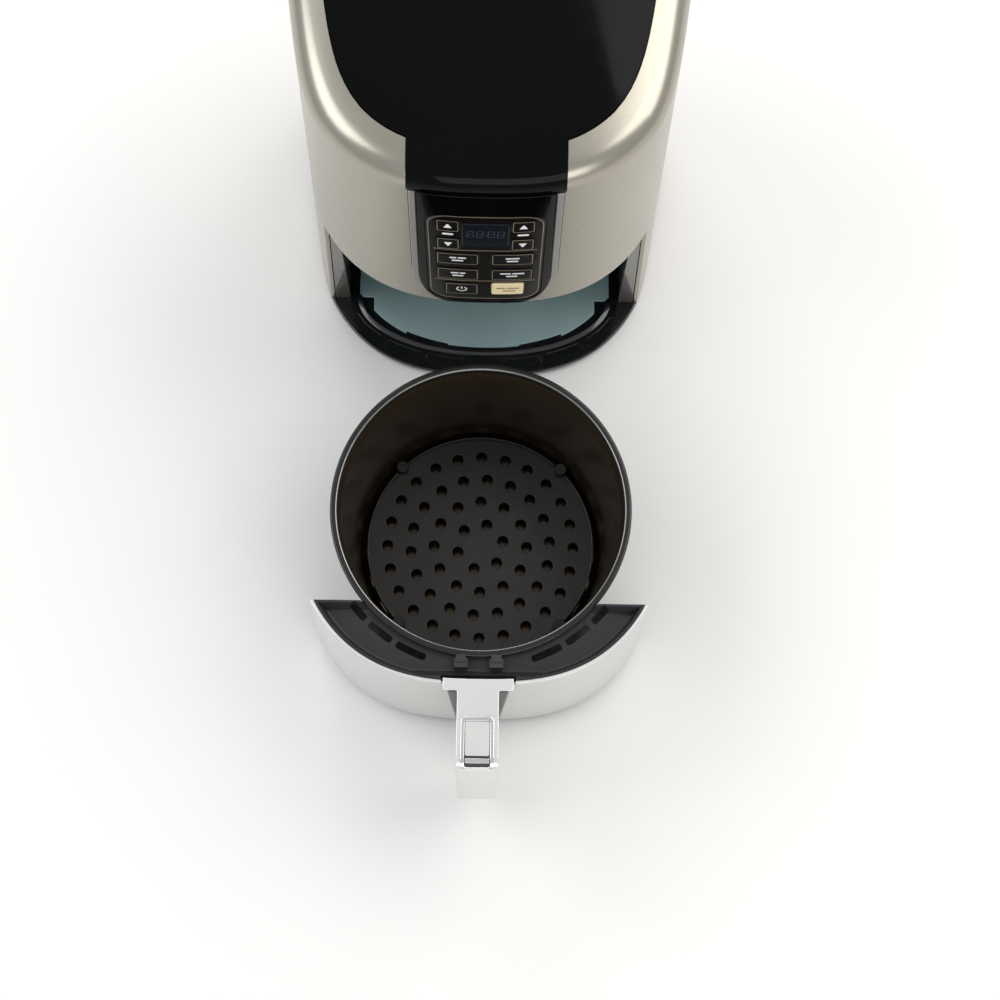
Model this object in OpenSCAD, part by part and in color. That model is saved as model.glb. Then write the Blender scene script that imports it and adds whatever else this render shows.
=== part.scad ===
// Air fryer with a round pull-out basket.
// Millimetres, +Z up, +X to the right, +Y to the back. The origin is on the table, at the middle of
// the whole footprint with the drawer pulled out. Inside the file the unit and the drawer are each
// drawn about their own corner line (y = 0), where the drawer front meets the sides of the body.

/* [Body] */
// Half width of the body at table height
body_half_w = 140; // [136:0.5:144]
// Depth from the widest station to the front
front_depth = 183; // [180:0.5:186]
// Depth from the widest station to the back
back_depth = 103; // [100:0.5:108]
// Distance from the corner line back to the widest station
widest_y = 121; // [119:0.5:123]
// Roundness of the front outline, 2 is an ellipse
front_power = 2.7; // [2.6:0.05:2.8]
// Roundness of the back outline, 2 is an ellipse
back_power = 2.5; // [2.3:0.1:2.7]
// Flattening of the sides behind the corner line
flank_flat = 4; // [3:0.5:5]
// Shrink of the outline for each millimetre of height
draft = 0.00021; // [0.00018:0.00001:0.00024]
// Height of the body
body_h = 338; // [336:1:344]
// Wall of the outer shell
wall = 2.6; // [2.2:0.1:3]
// Height and depth of the rounded top edge
shoulder = 17; // [14:1:20]

/* [Base] */
// Height of the rubber feet
foot_h = 3; // [2.6:0.1:3.2]
// Top of the ledge that the drawer runs over
ledge_top = 6.5; // [6:0.1:6.8]
// Underside of the drawer
drawer_z = 8; // [8:0.1:9]

/* [Drawer] */
// Distance that the drawer is pulled out
pull_out = 270.5; // [240:0.5:280]
// Top of the drawer front
front_top = 148; // [147:0.5:149]
// Distance from the corner line back to the basket's axis
basket_y = 66.5; // [65:0.5:68]
// Outer radius of the basket's rim
rim_r = 103.8; // [102:0.1:104]
// Width of the flat rim
rim_w = 4.9; // [4:0.1:6]
// Inner radius of the basket at its floor
basket_floor_r = 90; // [88:0.5:92]
// Thickness of the drawer front
front_wall = 2.2; // [1.8:0.1:2.6]

/* [Handle] */
// Half width of the cross bar
bar_half_w = 23.7; // [20:0.1:26]
// Half width of the stem and grip
stem_half_w = 14.1; // [12:0.1:16]
// Forward reach of the stem's flat top
stem_reach = 104.6; // [98:0.2:110]
// Forward reach of the grip's lower end
grip_reach = 122; // [118:0.5:126]
// Lower end of the grip
grip_z = 30; // [24:1:50]

/* [Panel] */
// Half width of the control panel
panel_half_w = 45; // [43:0.5:46]
// Distance that the panel stands proud of the shell
panel_proud = 0.8; // [0.5:0.1:1.2]
// Half width of the keypad
keypad_half_w = 38.2; // [37.5:0.1:38.6]
// Lower edge of the keypad
keypad_z = 157; // [156.5:0.5:158]
// Upper edge of the keypad
keypad_top = 288; // [286:0.5:290]
// Travel of each button
button_travel = 0.8; // [0.5:0.1:1]

/* [Cooking chamber] */
// Outer radius of the heat shield
chamber_r = 101; // [99:0.5:102]
// Top of the heat shield
chamber_top = 213.2; // [211:0.2:215]
// Radius of the motor shaft
shaft_r = 3; // [2.5:0.1:3.5]
// Running clearance of the shaft in its bushes
shaft_play = 0.05; // [0.02:0.01:0.1]

/* [Hidden] */

// Points round one outline of the body
outline_steps = 96;
shoulder_steps = 4;
eps = 0.01;
big = 400;

// Gap between fixed pieces that fit into each other
fit = 0.2;
// Underside of the front overhang, above the closed drawer
overhang_z = 150.4;
soffit_z = overhang_z + 0.4;
soffit_t = 2;
shoulder_z = body_h - panel_proud - shoulder - 4.2;

function shrink(z) = 1 - draft * z;
function half_w(z, inset = 0) = body_half_w * shrink(z) - inset;

// Share of the half width that the flattened side keeps at depth y
flank_depth = 110;
function flank(y) = y > 0 && y < flank_depth ? 1 - flank_flat / body_half_w * sin(180 * y / flank_depth) : 1;

// Outline of the body at height z, moved inwards by inset
function outline(z, inset = 0) = [
    for (i = [0:outline_steps - 1])
        let (t = 360 * i / outline_steps, c = cos(t), s = sin(t))
        let (p = s < 0 ? front_power : back_power, d = s < 0 ? front_depth : back_depth)
        let (y = widest_y + (d * shrink(z) - inset) * sign(s) * pow(abs(s), 2 / p))
        [half_w(z, inset) * sign(c) * pow(abs(c), 2 / p) * flank(y), y]
];

// Front face of the body: y at height z, and how far it falls back at x
function sag(x, z) = let (p = front_power)
    front_depth * shrink(z) * (1 - pow(1 - pow(abs(x) / half_w(z), p), 1 / p));
function back_y(z) = widest_y + back_depth * shrink(z);

// Half width of the body on the corner line
function corner_x(z) = let (p = front_power)
    half_w(z) * pow(1 - pow(widest_y / (front_depth * shrink(z)), p), 1 / p);

// Rings [height, inset] of the whole body, for a skin that lies t inside the shell's outer face
function body_rings(z0, t) = concat(
    [[z0, t]],
    [for (k = [0:shoulder_steps])
        let (a = 90 * k / shoulder_steps)
        [shoulder_z + (shoulder - t) * sin(a), shoulder - (shoulder - t) * cos(a)]],
    [[shoulder_z + shoulder + 2.8 - t, shoulder + 20], [shoulder_z + shoulder + 4.2 - t, shoulder + 48]]
);

// Solid through a list of rings
module loft(rings) {
    n = outline_steps;
    m = len(rings);
    points = [for (r = rings) for (q = outline(r[0], r[1])) [q[0], q[1], r[0]]];
    sides = [
        for (k = [0:m - 2]) for (i = [0:n - 1])
            let (a = k * n + i, b = k * n + (i + 1) % n)
            each [[a, a + n, b + n], [a, b + n, b]]
    ];
    polyhedron(points, concat([[for (i = [0:n - 1]) i]], [[for (i = [n - 1:-1:0]) (m - 1) * n + i]], sides));
}

module body_skin(z0, outer, inner) {
    difference() {
        loft(body_rings(z0, outer));
        loft(body_rings(z0 - 1, inner));
    }
}

// Plate of the body's outline, with straight sides
module slab(z0, z1, inset = 0) {
    translate([0, 0, z0]) linear_extrude(z1 - z0) polygon(outline(z1, inset));
}

module box(x0, x1, y0, y1, z0, z1) {
    translate([x0, y0, z0]) cube([x1 - x0, y1 - y0, z1 - z0]);
}

module rounded(w, h, r) {
    for (sx = [-1, 1]) for (sy = [-1, 1])
        translate([sx * (w / 2 - r), sy * (h / 2 - r)]) circle(r, $fn = 48);
    square([w - 2 * r, h], center = true);
    square([w, h - 2 * r], center = true);
}

module mirrored() {
    children();
    mirror([1, 0, 0]) children();
}

module around(n, start = 0) {
    for (k = [0:n - 1]) rotate([0, 0, start + 360 * k / n]) children();
}

module ring(r, wire) {
    rotate_extrude($fn = 96) translate([r, 0]) circle(wire, $fn = 24);
}

// Places in the whole object
handle_front = grip_reach;
gland_back = back_y(34) + 6;
unit_y = (pull_out + handle_front - gland_back) / 2;
drawer_y = unit_y - pull_out;
module unit() { translate([0, unit_y, 0]) children(); }
module drawer() { translate([0, drawer_y, 0]) children(); }
module on_chamber(z = 0) { unit() translate([0, basket_y, z]) children(); }

// ---------------------------------------------------------------- base

pocket_floor = 5;
pocket_r = 105;
feet_at = [[62, -40, 9], [98, 168, 11]];
boss_at = [[113.6, 14], [116, 140]];
boss_top = 18;
ridge_top = 7.5;
ridge_w = 4.4;
ridge_end = 0.4;

// Half ellipse of the ridge that runs round the front of the floor plate
ridge_rx = 97.4;
ridge_ry = 44.6;
module ridge_area(grow) {
    scale([1, (ridge_ry + grow) / (ridge_rx + grow)]) circle(ridge_rx + grow, $fn = 120);
}

// Outline of the floor plate: a stepped front edge that keeps clear of the ridge
step_x = [28, 61];
function plate_step(x) = x < step_x[0] ? 2.9
    : x < step_x[1] ? 4 + 0.055 * (x - step_x[0])
    : 3.7 + 0.16 * (x - step_x[1]);
function plate_front(x) = plate_step(abs(x))
    - (ridge_ry - ridge_w / 2) * sqrt(1 - pow(x / (ridge_rx - ridge_w / 2), 2));
plate_half_w = 87;
plate_bay_r = 99;
plate_right = [0, 10, 20, step_x[0] - 0.2, step_x[0] + 0.2, 40, 50, step_x[1] - 0.2, step_x[1] + 0.2,
    70, 79, plate_half_w];
plate_xs = concat([for (k = [len(plate_right) - 1:-1:1]) -plate_right[k]], plate_right);
module floor_plate_area() {
    difference() {
        union() {
            polygon(concat(
                [[-plate_half_w, 20]],
                [for (x = plate_xs) [x, plate_front(x)]],
                [[plate_half_w, 20]]));
            bay_area(plate_bay_r);
        }
        mirrored() translate([plate_half_w, -60]) square([60, 61]);
    }
}

module base_ledge() {
    color("#141416") unit() difference() {
        union() {
            slab(foot_h, ledge_top);
            translate([0, 0, ledge_top - eps]) linear_extrude(ridge_top - ledge_top) difference() {
                ridge_area(ridge_w / 2);
                ridge_area(-ridge_w / 2);
                translate([-big, ridge_end]) square(2 * big);
            }
            mirrored() for (b = boss_at) translate([b[0], b[1], ledge_top - eps])
                cylinder(h = boss_top - ledge_top, r = 4.6, $fn = 48);
        }
        translate([0, 0, pocket_floor]) linear_extrude(9) difference() {
            union() {
                ridge_area(-ridge_w / 2 - 0.5);
                bay_area(pocket_r);
            }
            translate([-big, -big]) square([2 * big, big - ridge_ry]);
        }
        mirrored() for (a = recess_at) translate([0, 0, ledge_top - 0.6]) linear_extrude(2)
            ledge_recess(a[0], a[1]);
        mirrored() for (b = boss_at) translate([b[0], b[1], foot_h - 1]) {
            cylinder(h = boss_top, r = 2, $fn = 32);
            cylinder(h = 3.4, r = 4.2, $fn = 32);
        }
    }
}

// Shallow curved recesses in the ledge, each between two angles from the front
recess_at = [[9, 25], [29, 46], [52, 75]];
recess_from = 5.5;
recess_to = 12;
module ledge_recess(a0, a1) {
    steps = 6;
    arc = [for (k = [0:steps]) a0 + (a1 - a0) * k / steps];
    edge = function(out, a) [(ridge_rx + out) * sin(a), -(ridge_ry + out) * cos(a)];
    polygon(concat(
        [for (a = arc) edge(recess_from, a)],
        [for (k = [steps:-1:0]) edge(recess_to, arc[k])]));
}

module floor_plate() {
    color("#5c6e73") unit() translate([0, 0, pocket_floor]) linear_extrude(1.2) floor_plate_area();
}

module feet() {
    color("#202022") unit() mirrored() for (f = feet_at) translate([f[0], f[1], 0]) {
        cylinder(h = 1, r1 = f[2] - 1, r2 = f[2], $fn = 64);
        translate([0, 0, 1]) cylinder(h = foot_h - 1, r = f[2], $fn = 64);
    }
}

module base_screws() {
    color("#8a8a8c") unit() mirrored() for (b = boss_at) translate([b[0], b[1], foot_h + 0.2]) {
        difference() {
            cylinder(h = 2.2, r = 3.8, $fn = 32);
            translate([0, 0, -1]) cylinder(h = 2.2, r = 1.4, $fn = 6);
        }
        translate([0, 0, 2.2 - eps]) cylinder(h = 11, r = 1.9, $fn = 32);
    }
}

// ---------------------------------------------------------------- shell and top

vent_w = 116;
vent_z = [166, 250];
panel_slot_w = panel_half_w + 4.6;

// Region of the rounded top that the top cover takes
module top_region(gap) {
    translate([0, 0, shoulder_z + 5]) linear_extrude(60) polygon(outline(shoulder_z, shoulder + 6 + gap));
    box(-panel_slot_w + gap, panel_slot_w - gap, -big, widest_y, shoulder_z + gap, body_h + 20);
}

module outer_shell() {
    color("#a8a49a") unit() difference() {
        body_skin(ledge_top, 0, wall);
        box(-big, big, -big, 0, 0, overhang_z);
        top_region(0);
        on_panel() panel_prism(fit, -10, 20);
        translate([0, back_y(230), (vent_z[0] + vent_z[1]) / 2]) rotate([90, 0, 0])
            linear_extrude(60, center = true) rounded(vent_w - 16, vent_z[1] - vent_z[0] - 14, 6);
        translate([0, back_y(34), 34]) rotate([90, 0, 0]) cylinder(h = 40, r = 7.2, center = true, $fn = 64);
    }
}

module top_cover() {
    color("#101012") unit() difference() {
        intersection() {
            body_skin(ledge_top, -panel_proud, wall - panel_proud);
            top_region(fit);
        }
        translate([0, 0, body_h - 20]) for (row = [-1, 1]) for (k = [-6:6])
            translate([k * 11, 165 + row * 17 - abs(k) * 1.2, 0]) linear_extrude(40) rounded(4.4, 27, 2.1);
    }
}

// ---------------------------------------------------------------- control panel

lean = atan(front_depth * draft);
// The panel's own frame: x across, y inwards from its outer face, z up the slope
module on_panel() {
    translate([0, widest_y - front_depth - panel_proud, 0]) rotate([-lean, 0, 0]) children();
}

band_steps = 10;
function band_sag(x) = sag(x, 240);
// Band between two depths that follows the curve of the panel
module band(half, y0, y1, z0, z1) {
    xs = [for (k = [-band_steps:band_steps]) half * k / band_steps];
    translate([0, 0, z0]) linear_extrude(z1 - z0) polygon(concat(
        [for (x = xs) [x, band_sag(x) + y0]],
        [for (k = [2 * band_steps:-1:0]) [xs[k], band_sag(xs[k]) + y1]]));
}

panel_z = overhang_z + 0.2;
corner_rx = 21;
corner_rz = 46;
corner_steps = 10;
// Right edge of the panel at height z, with its long rounded lower corner
function panel_edge(z) = let (u = max(0, 1 - (z - panel_z) / corner_rz))
    panel_half_w - (z - panel_z) * 0.008 - corner_rx * (1 - sqrt(1 - u * u));
panel_zs = concat([for (k = [0:corner_steps]) panel_z + corner_rz * (1 - cos(90 * k / corner_steps))],
    [shoulder_z]);

module panel_face(grow = 0) {
    polygon(concat(
        [for (z = panel_zs) [panel_edge(z) + grow, z - grow]],
        [for (k = [len(panel_zs) - 1:-1:0]) [-panel_edge(panel_zs[k]) - grow, panel_zs[k] - grow]]));
}

// Strip beside the panel, from the rounded corner up
trim_w = 4.4;
trim_zs = [for (k = [3:corner_steps]) panel_zs[k]];
module trim_face(grow = 0) {
    outer = function(z) panel_edge(z) + trim_w * min(1, (z - trim_zs[0]) / 28) + 0.3;
    zs = concat(trim_zs, [shoulder_z]);
    polygon(concat(
        [for (z = zs) [panel_edge(z) + fit - grow, z]],
        [for (k = [len(zs) - 1:-1:0]) [outer(zs[k]) + grow, zs[k]]]));
}

module panel_prism(grow, y0, y1) {
    translate([0, y1, 0]) rotate([90, 0, 0]) linear_extrude(y1 - y0) {
        panel_face(grow);
        mirrored() trim_face(grow);
    }
}

keypad_corner = 14;
module keypad_area(gap = 0) {
    translate([0, (keypad_z + keypad_top) / 2])
        rounded(2 * (keypad_half_w - gap), keypad_top - keypad_z - 2 * gap, keypad_corner - gap);
}

module across(y0, y1) {
    translate([0, y1, 0]) rotate([90, 0, 0]) linear_extrude(y1 - y0) children();
}

module panel_fascia() {
    color("#0c0c0e") unit() on_panel() difference() {
        intersection() {
            band(panel_half_w + 2, 0, wall, panel_z, shoulder_z - fit);
            across(-2, 12) panel_face(0);
        }
        across(-5, 15) keypad_area();
    }
}

module panel_trim() {
    color("#cfcfd0") unit() on_panel() intersection() {
        band(panel_half_w + 8, -0.2, wall, panel_z, shoulder_z - fit);
        across(-2, 14) trim_face();
    }
}
module panel_trim_right() { panel_trim(); }
module panel_trim_left() { mirror([1, 0, 0]) panel_trim(); }

// Buttons: [x, z, width, height] on the panel
arrow_size = [14.3, 15];
mode_size = [27.5, 16];
key_size = [22, 17];
arrow_x = 24.4;
mode_x = 18.3;
key_x = 15.8;
function key(x, z, size) = [x, z, size[0], size[1]];
temp_up = key(-arrow_x, 274, arrow_size);
temp_down = key(-arrow_x, 247.5, arrow_size);
time_up = key(arrow_x, 274, arrow_size);
time_down = key(arrow_x, 247.5, arrow_size);
mode_1 = key(-mode_x, 224.5, mode_size);
mode_2 = key(mode_x, 224.5, mode_size);
mode_3 = key(-mode_x, 200, mode_size);
mode_4 = key(mode_x, 200, mode_size);
power = key(-key_x, 175.5, key_size);
start = key(key_x, 175.5, key_size);
keys = [temp_up, temp_down, time_up, time_down, mode_1, mode_2, mode_3, mode_4, power, start];
window = key(0, 260.5, [30.4, 33]);
keypad_face = 0.6;
keypad_t = 2.2;
keypad_back = keypad_face + keypad_t;
key_gap = 0.35;
button_face = -0.3;
board_y = 12;
board_t = 1.6;
post_at = [[35.2, 186], [35.2, 262]];
post_r = 2.4;

module key_area(k, grow = 0) {
    translate([k[0], k[1]]) rounded(k[2] + 2 * grow, k[3] + 2 * grow, 1.6 + grow);
}

module keypad_plate() {
    color("#17171a") unit() on_panel() {
        difference() {
            intersection() {
                band(keypad_half_w, keypad_face, keypad_back, keypad_z, keypad_top);
                across(-2, 12) keypad_area(fit);
            }
            across(-5, 15) {
                for (k = keys) key_area(k, key_gap);
                key_area(window, 0.1);
            }
            for (z = [188, 237]) band(keypad_half_w - 5, -1, keypad_face + 0.5, z - 0.4, z + 0.4);
        }
        mirrored() for (p = post_at) translate([p[0], board_y, p[1]]) rotate([90, 0, 0])
            cylinder(h = board_y - band_sag(p[0]) - keypad_back + 1, r = post_r, $fn = 32);
    }
}

module display_window() {
    color("#0a1216") unit() on_panel() intersection() {
        band(keypad_half_w, 0.3, 2.2, keypad_z, keypad_top);
        across(-2, 12) key_area(window);
    }
}

module display_module() {
    color("#2a2a2c") unit() on_panel()
        box(-14.8, 14.8, 3.2, board_y, window[1] - 16, window[1] + 16);
}

module control_board() {
    color("#1f5a3a") unit() on_panel() difference() {
        box(-38, 38, board_y, board_y + board_t, keypad_z + 2, keypad_top - 2);
        mirrored() for (p = post_at) translate([p[0], board_y - 1, p[1]]) rotate([-90, 0, 0])
            cylinder(h = 5, r = 1.3, $fn = 32);
    }
}

plunger_end = 6.2;
module tact_switches() {
    color("#2c2c2e") unit() on_panel() for (k = keys) translate([k[0], board_y, k[1]]) rotate([90, 0, 0]) {
        translate([-3, -3, 0]) cube([6, 6, 3.6]);
        cylinder(h = board_y - plunger_end - button_travel - 0.2, r = 1.7, $fn = 32);
    }
}

module button(k) {
    color("#1b1b1e") unit() on_panel() {
        intersection() {
            band(keypad_half_w, button_face, keypad_back + 0.6, keypad_z, keypad_top);
            across(-2, 12) key_area(k);
        }
        intersection() {
            band(keypad_half_w, keypad_back + 0.3, keypad_back + 1.2, keypad_z, keypad_top);
            across(-2, 12) key_area(k, 1);
        }
        translate([k[0], plunger_end, k[1]]) rotate([90, 0, 0])
            cylinder(h = plunger_end - keypad_back - band_sag(k[0]) - 0.4, r = 2.4, $fn = 32);
    }
}
module temp_up_button() { button(temp_up); }
module temp_down_button() { button(temp_down); }
module time_up_button() { button(time_up); }
module time_down_button() { button(time_down); }
module mode_button_1() { button(mode_1); }
module mode_button_2() { button(mode_2); }
module mode_button_3() { button(mode_3); }
module mode_button_4() { button(mode_4); }
module power_button() { button(power); }
module start_button() { button(start); }

// ---------------------------------------------------------------- drawer bay and cooking chamber

liner_r = 108;
liner_t = 1.6;
jamb_x = liner_r - 2;
jamb_y = [0.8, 3.6];
jamb_inset = wall + 0.8;
// Facet at the foot of a jamb: x and z of its corners
jamb_foot = [[106.3, ledge_top], [116.8, ledge_top], [116.4, 24], [106.3, 67]];
flange_z = soffit_z + soffit_t;
flange_t = 1.2;
shield_t = 1;

module bay_frame() {
    color("#6e6d69") unit() {
        // Soffit over the closed drawer, open below the cooking chamber
        difference() {
            slab(soffit_z, flange_z, wall + fit + 0.2);
            box(-big, big, jamb_y[1], big, 0, big);
            translate([0, basket_y, 0]) cylinder(h = big, r = chamber_r + fit, $fn = 120);
        }
        // Jambs that face the front on both sides of the opening, each with a raised facet at its foot
        mirrored() {
            across(jamb_y[0], jamb_y[1]) polygon([
                [jamb_x, ledge_top], [corner_x(ledge_top) - jamb_inset, ledge_top],
                [corner_x(soffit_z) - jamb_inset, soffit_z + eps], [jamb_x, soffit_z + eps]]);
            across(jamb_y[0] - 0.4, jamb_y[0] + eps) polygon(jamb_foot);
        }
    }
}

// Wall of the drawer bay: straight sides at the front, round at the back
module bay_area(r) {
    translate([0, basket_y]) circle(r, $fn = 160);
    translate([-r, jamb_y[1]]) square([2 * r, basket_y - jamb_y[1]]);
}
module bay_liner() {
    color("#3b3c3e") unit() translate([0, 0, ledge_top]) linear_extrude(flange_z - ledge_top) difference() {
        bay_area(liner_r);
        bay_area(liner_r - liner_t);
        translate([-big, -big]) square([2 * big, big + jamb_y[1]]);
    }
}

leg_at = [11, 74];
sensor_at = [-66, -40];
module heat_shield() {
    color("#b4b8bb") on_chamber() difference() {
        union() {
            translate([0, 0, flange_z]) cylinder(h = chamber_top - flange_z, r = chamber_r, $fn = 160);
            difference() {
                translate([0, 0, flange_z]) cylinder(h = flange_t, r = liner_r, $fn = 160);
                translate([0, -basket_y - 20, 0]) box(-big, big, -big, 0, 0, big);
            }
        }
        translate([0, 0, flange_z - 1])
            cylinder(h = chamber_top - flange_z + 1 - shield_t, r = chamber_r - shield_t, $fn = 160);
        cylinder(h = big, r = shaft_r + 2.5, $fn = 48);
        mirrored() translate([leg_at[0], leg_at[1], 0]) cylinder(h = big, r = 4.2, $fn = 32);
        box(-27, 27, 60, 140, 176, 206);
        translate(sensor_at) cylinder(h = big, r = 3.3, $fn = 32);
    }
}

guard_z = 160;
guard_wire = 1.1;
module fan_guard() {
    color("#c6c8ca") on_chamber(guard_z) {
        for (r = [18:15:93]) ring(r, guard_wire);
        around(6, 30) translate([17, 0, 2 * guard_wire - 0.3]) rotate([0, 90, 0])
            cylinder(h = chamber_r - shield_t - 17, r = guard_wire, $fn = 24);
    }
}

element_z = 176;
element_wire = 3.2;
inner_coil_r = 56;
module heating_element() {
    color("#5a5c5e") on_chamber(element_z) {
        ring(inner_coil_r, element_wire);
        ring(leg_at[1], element_wire);
        rotate([0, 0, 210]) translate([inner_coil_r, 0, 0]) rotate([0, 90, 0])
            cylinder(h = leg_at[1] - inner_coil_r, r = 2.6, $fn = 32);
        mirrored() translate([leg_at[0], leg_at[1] - 0.8, 0]) cylinder(h = 52, r = 2.8, $fn = 32);
    }
}

clip_r = [51, 82];
module element_clips() {
    color("#a9adb0") on_chamber() around(3, 30) translate([0, -3, 0]) difference() {
        union() {
            box(clip_r[0], clip_r[1], 0, 6, element_z - 5, element_z + 1);
            box(clip_r[1] - 2, clip_r[1], 0, 6, element_z - 5, chamber_top - shield_t);
        }
        for (r = [inner_coil_r, leg_at[1]]) translate([r, -5, element_z]) rotate([-90, 0, 0])
            cylinder(h = 20, r = element_wire + 0.3, $fn = 32);
    }
}

module temperature_sensor() {
    color("#c9cbcd") on_chamber() translate(sensor_at) {
        translate([0, 0, 186]) cylinder(h = 32, r = 2.4, $fn = 32);
        translate([0, 0, chamber_top]) cylinder(h = 2, r = 6, $fn = 6);
    }
}

module thermal_fuse() {
    color("#d8d4c8") on_chamber() translate([70, -34, chamber_top]) {
        cylinder(h = 5, r = 8, $fn = 48);
        translate([0, 0, 5 - eps]) cylinder(h = 3, r = 5.5, $fn = 48);
        translate([-12, -3.5, 0]) cube([24, 7, 0.8]);
        for (s = [-1, 1]) translate([3.4 * s - 0.4, -2, 8 - 2 * eps]) cube([0.8, 4, 6]);
    }
}

fan_z = [190, 205];
module convection_fan() {
    color("#bfc3c6") on_chamber() difference() {
        union() {
            translate([0, 0, fan_z[1] - 1]) cylinder(h = 1, r = 64, $fn = 96);
            translate([0, 0, fan_z[0]]) cylinder(h = fan_z[1] - fan_z[0], r = 11, $fn = 64);
            around(10) translate([14, 0, fan_z[0]]) rotate([0, 0, 18])
                translate([0, -0.6, 0]) cube([46, 1.2, fan_z[1] - fan_z[0] - 0.5]);
        }
        translate([0, 0, fan_z[0] - 1]) cylinder(h = 30, r = shaft_r, $fn = 48);
    }
}

shaft_z = [184, 282];
module motor_shaft() {
    color("#9b9da0") on_chamber() {
        translate([0, 0, shaft_z[0]]) cylinder(h = shaft_z[1] - shaft_z[0], r = shaft_r, $fn = 48);
        translate([0, 0, fan_z[0] - 4]) cylinder(h = 4, r = 5.5, $fn = 6);
    }
}

cooler_z = [217, 231];
module cooling_fan() {
    color("#2d2d30") on_chamber() difference() {
        union() {
            translate([0, 0, cooler_z[0]]) cylinder(h = 1.6, r = 50, $fn = 96);
            translate([0, 0, cooler_z[0]]) cylinder(h = cooler_z[1] - cooler_z[0], r = 9, $fn = 64);
            around(12) translate([12, 0, cooler_z[0] + 1]) rotate([0, 0, 22])
                translate([0, -0.7, 0]) cube([36, 1.4, cooler_z[1] - cooler_z[0] - 2]);
        }
        translate([0, 0, cooler_z[0] - 1]) cylinder(h = 30, r = shaft_r, $fn = 48);
    }
}

motor_z = [240, 276];
motor_r = 31;
bush_h = 6;
bush_r = 7;
rotor_r = 15;
module motor_rotor() {
    color("#8d8f92") on_chamber() difference() {
        translate([0, 0, motor_z[0] + 9]) cylinder(h = motor_z[1] - motor_z[0] - 18, r = rotor_r, $fn = 64);
        translate([0, 0, motor_z[0]]) cylinder(h = 50, r = shaft_r, $fn = 48);
    }
}

module motor_housing() {
    motor_h = motor_z[1] - motor_z[0];
    color("#7f8285") on_chamber(motor_z[0]) difference() {
        union() {
            cylinder(h = motor_h, r = motor_r, $fn = 96);
            box(-36, 36, -27, 27, 10, motor_h - 10);
        }
        translate([0, 0, 8]) cylinder(h = motor_h - 16, r = rotor_r + 0.6, $fn = 64);
        translate([0, 0, -1]) cylinder(h = 60, r = bush_r - 1.5, $fn = 48);
        for (z = [-eps, motor_h - bush_h + eps])
            translate([0, 0, z]) cylinder(h = bush_h, r = bush_r, $fn = 48);
    }
}

module motor_bushes() {
    color("#b07b3c") for (z = [motor_z[0], motor_z[1] - bush_h]) on_chamber(z) difference() {
        cylinder(h = bush_h - 0.1, r = bush_r, $fn = 48);
        translate([0, 0, -1]) cylinder(h = bush_h + 2, r = shaft_r + shaft_play, $fn = 48);
    }
}

bracket_t = 1.5;
module motor_bracket() {
    bracket_z = motor_z[0] - bracket_t;
    color("#a3a7aa") on_chamber(bracket_z) {
        difference() {
            cylinder(h = bracket_t, r = 64, $fn = 96);
            translate([0, 0, -5]) cylinder(h = 10, r = 10, $fn = 64);
            around(3, 90) translate([45, 0, -5]) cylinder(h = 10, r = 12, $fn = 48);
        }
        around(3, 30) translate([58, 0, chamber_top - bracket_z])
            cylinder(h = bracket_z - chamber_top + eps, r = 3.5, $fn = 32);
    }
}

module exhaust_duct() {
    color("#8f9396") unit() difference() {
        box(-30, 30, basket_y + chamber_r - 2, 211, 173, 209);
        box(-28.8, 28.8, 100, 260, 174.2, 207.8);
        translate([0, basket_y, 0]) cylinder(h = big, r = chamber_r + 0.05, $fn = 160);
    }
}

module power_board() {
    color("#2c6b45") on_chamber() {
        box(-81.6, -80, -38, 38, chamber_top + 6, chamber_top + 66);
        for (y = [-30, 24]) box(-90, -80 - eps, y, y + 6, chamber_top, chamber_top + 14);
        translate([-80 - eps, 0, chamber_top + 40]) box(0, 14, -30, -8, -12, 12);
        translate([-80 - eps, 4, chamber_top + 34]) rotate([0, 90, 0]) cylinder(h = 12, r = 7, $fn = 48);
        translate([-80 - eps, 22, chamber_top + 34]) rotate([0, 90, 0]) cylinder(h = 12, r = 6, $fn = 48);
        translate([-80 - eps, 0, chamber_top + 50]) box(0, 9, 4, 26, 0, 10);
    }
}

module interlock_switch() {
    color("#3a3a3d") unit() {
        box(74, 90, -22, -15, flange_z, flange_z + 10);
        box(76, 88, -20, -17, flange_z + 10 - eps, flange_z + 13);
    }
}

vent_reach = 6;
module rear_vent() {
    mid = (vent_z[0] + vent_z[1]) / 2;
    vent_h = vent_z[1] - vent_z[0];
    louvre_half = vent_w / 2 - 12;
    face = back_y(mid) + vent_reach;
    color("#1d1d1f") unit() difference() {
        translate([0, face, mid]) rotate([90, 0, 0]) linear_extrude(14) rounded(vent_w, vent_h, 8);
        translate([0, face - 2.4, mid]) rotate([90, 0, 0]) linear_extrude(20)
            rounded(vent_w - 5, vent_h - 5, 6);
        loft([[ledge_top, -0.05], [shoulder_z, -0.05]]);
        for (k = [-4:4]) translate([0, face, mid + 8 * k]) box(-louvre_half, louvre_half, -5, 1, -1.8, 1.8);
    }
}

module cord_gland() {
    color("#1a1a1c") unit() translate([0, gland_back, 34]) rotate([90, 0, 0]) difference() {
        union() {
            cylinder(h = 5.6, r = 10, $fn = 64);
            cylinder(h = 14, r = 7, $fn = 64);
        }
        translate([0, 0, -1]) cylinder(h = 20, r = 3.8, $fn = 64);
    }
}

// ---------------------------------------------------------------- drawer

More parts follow.
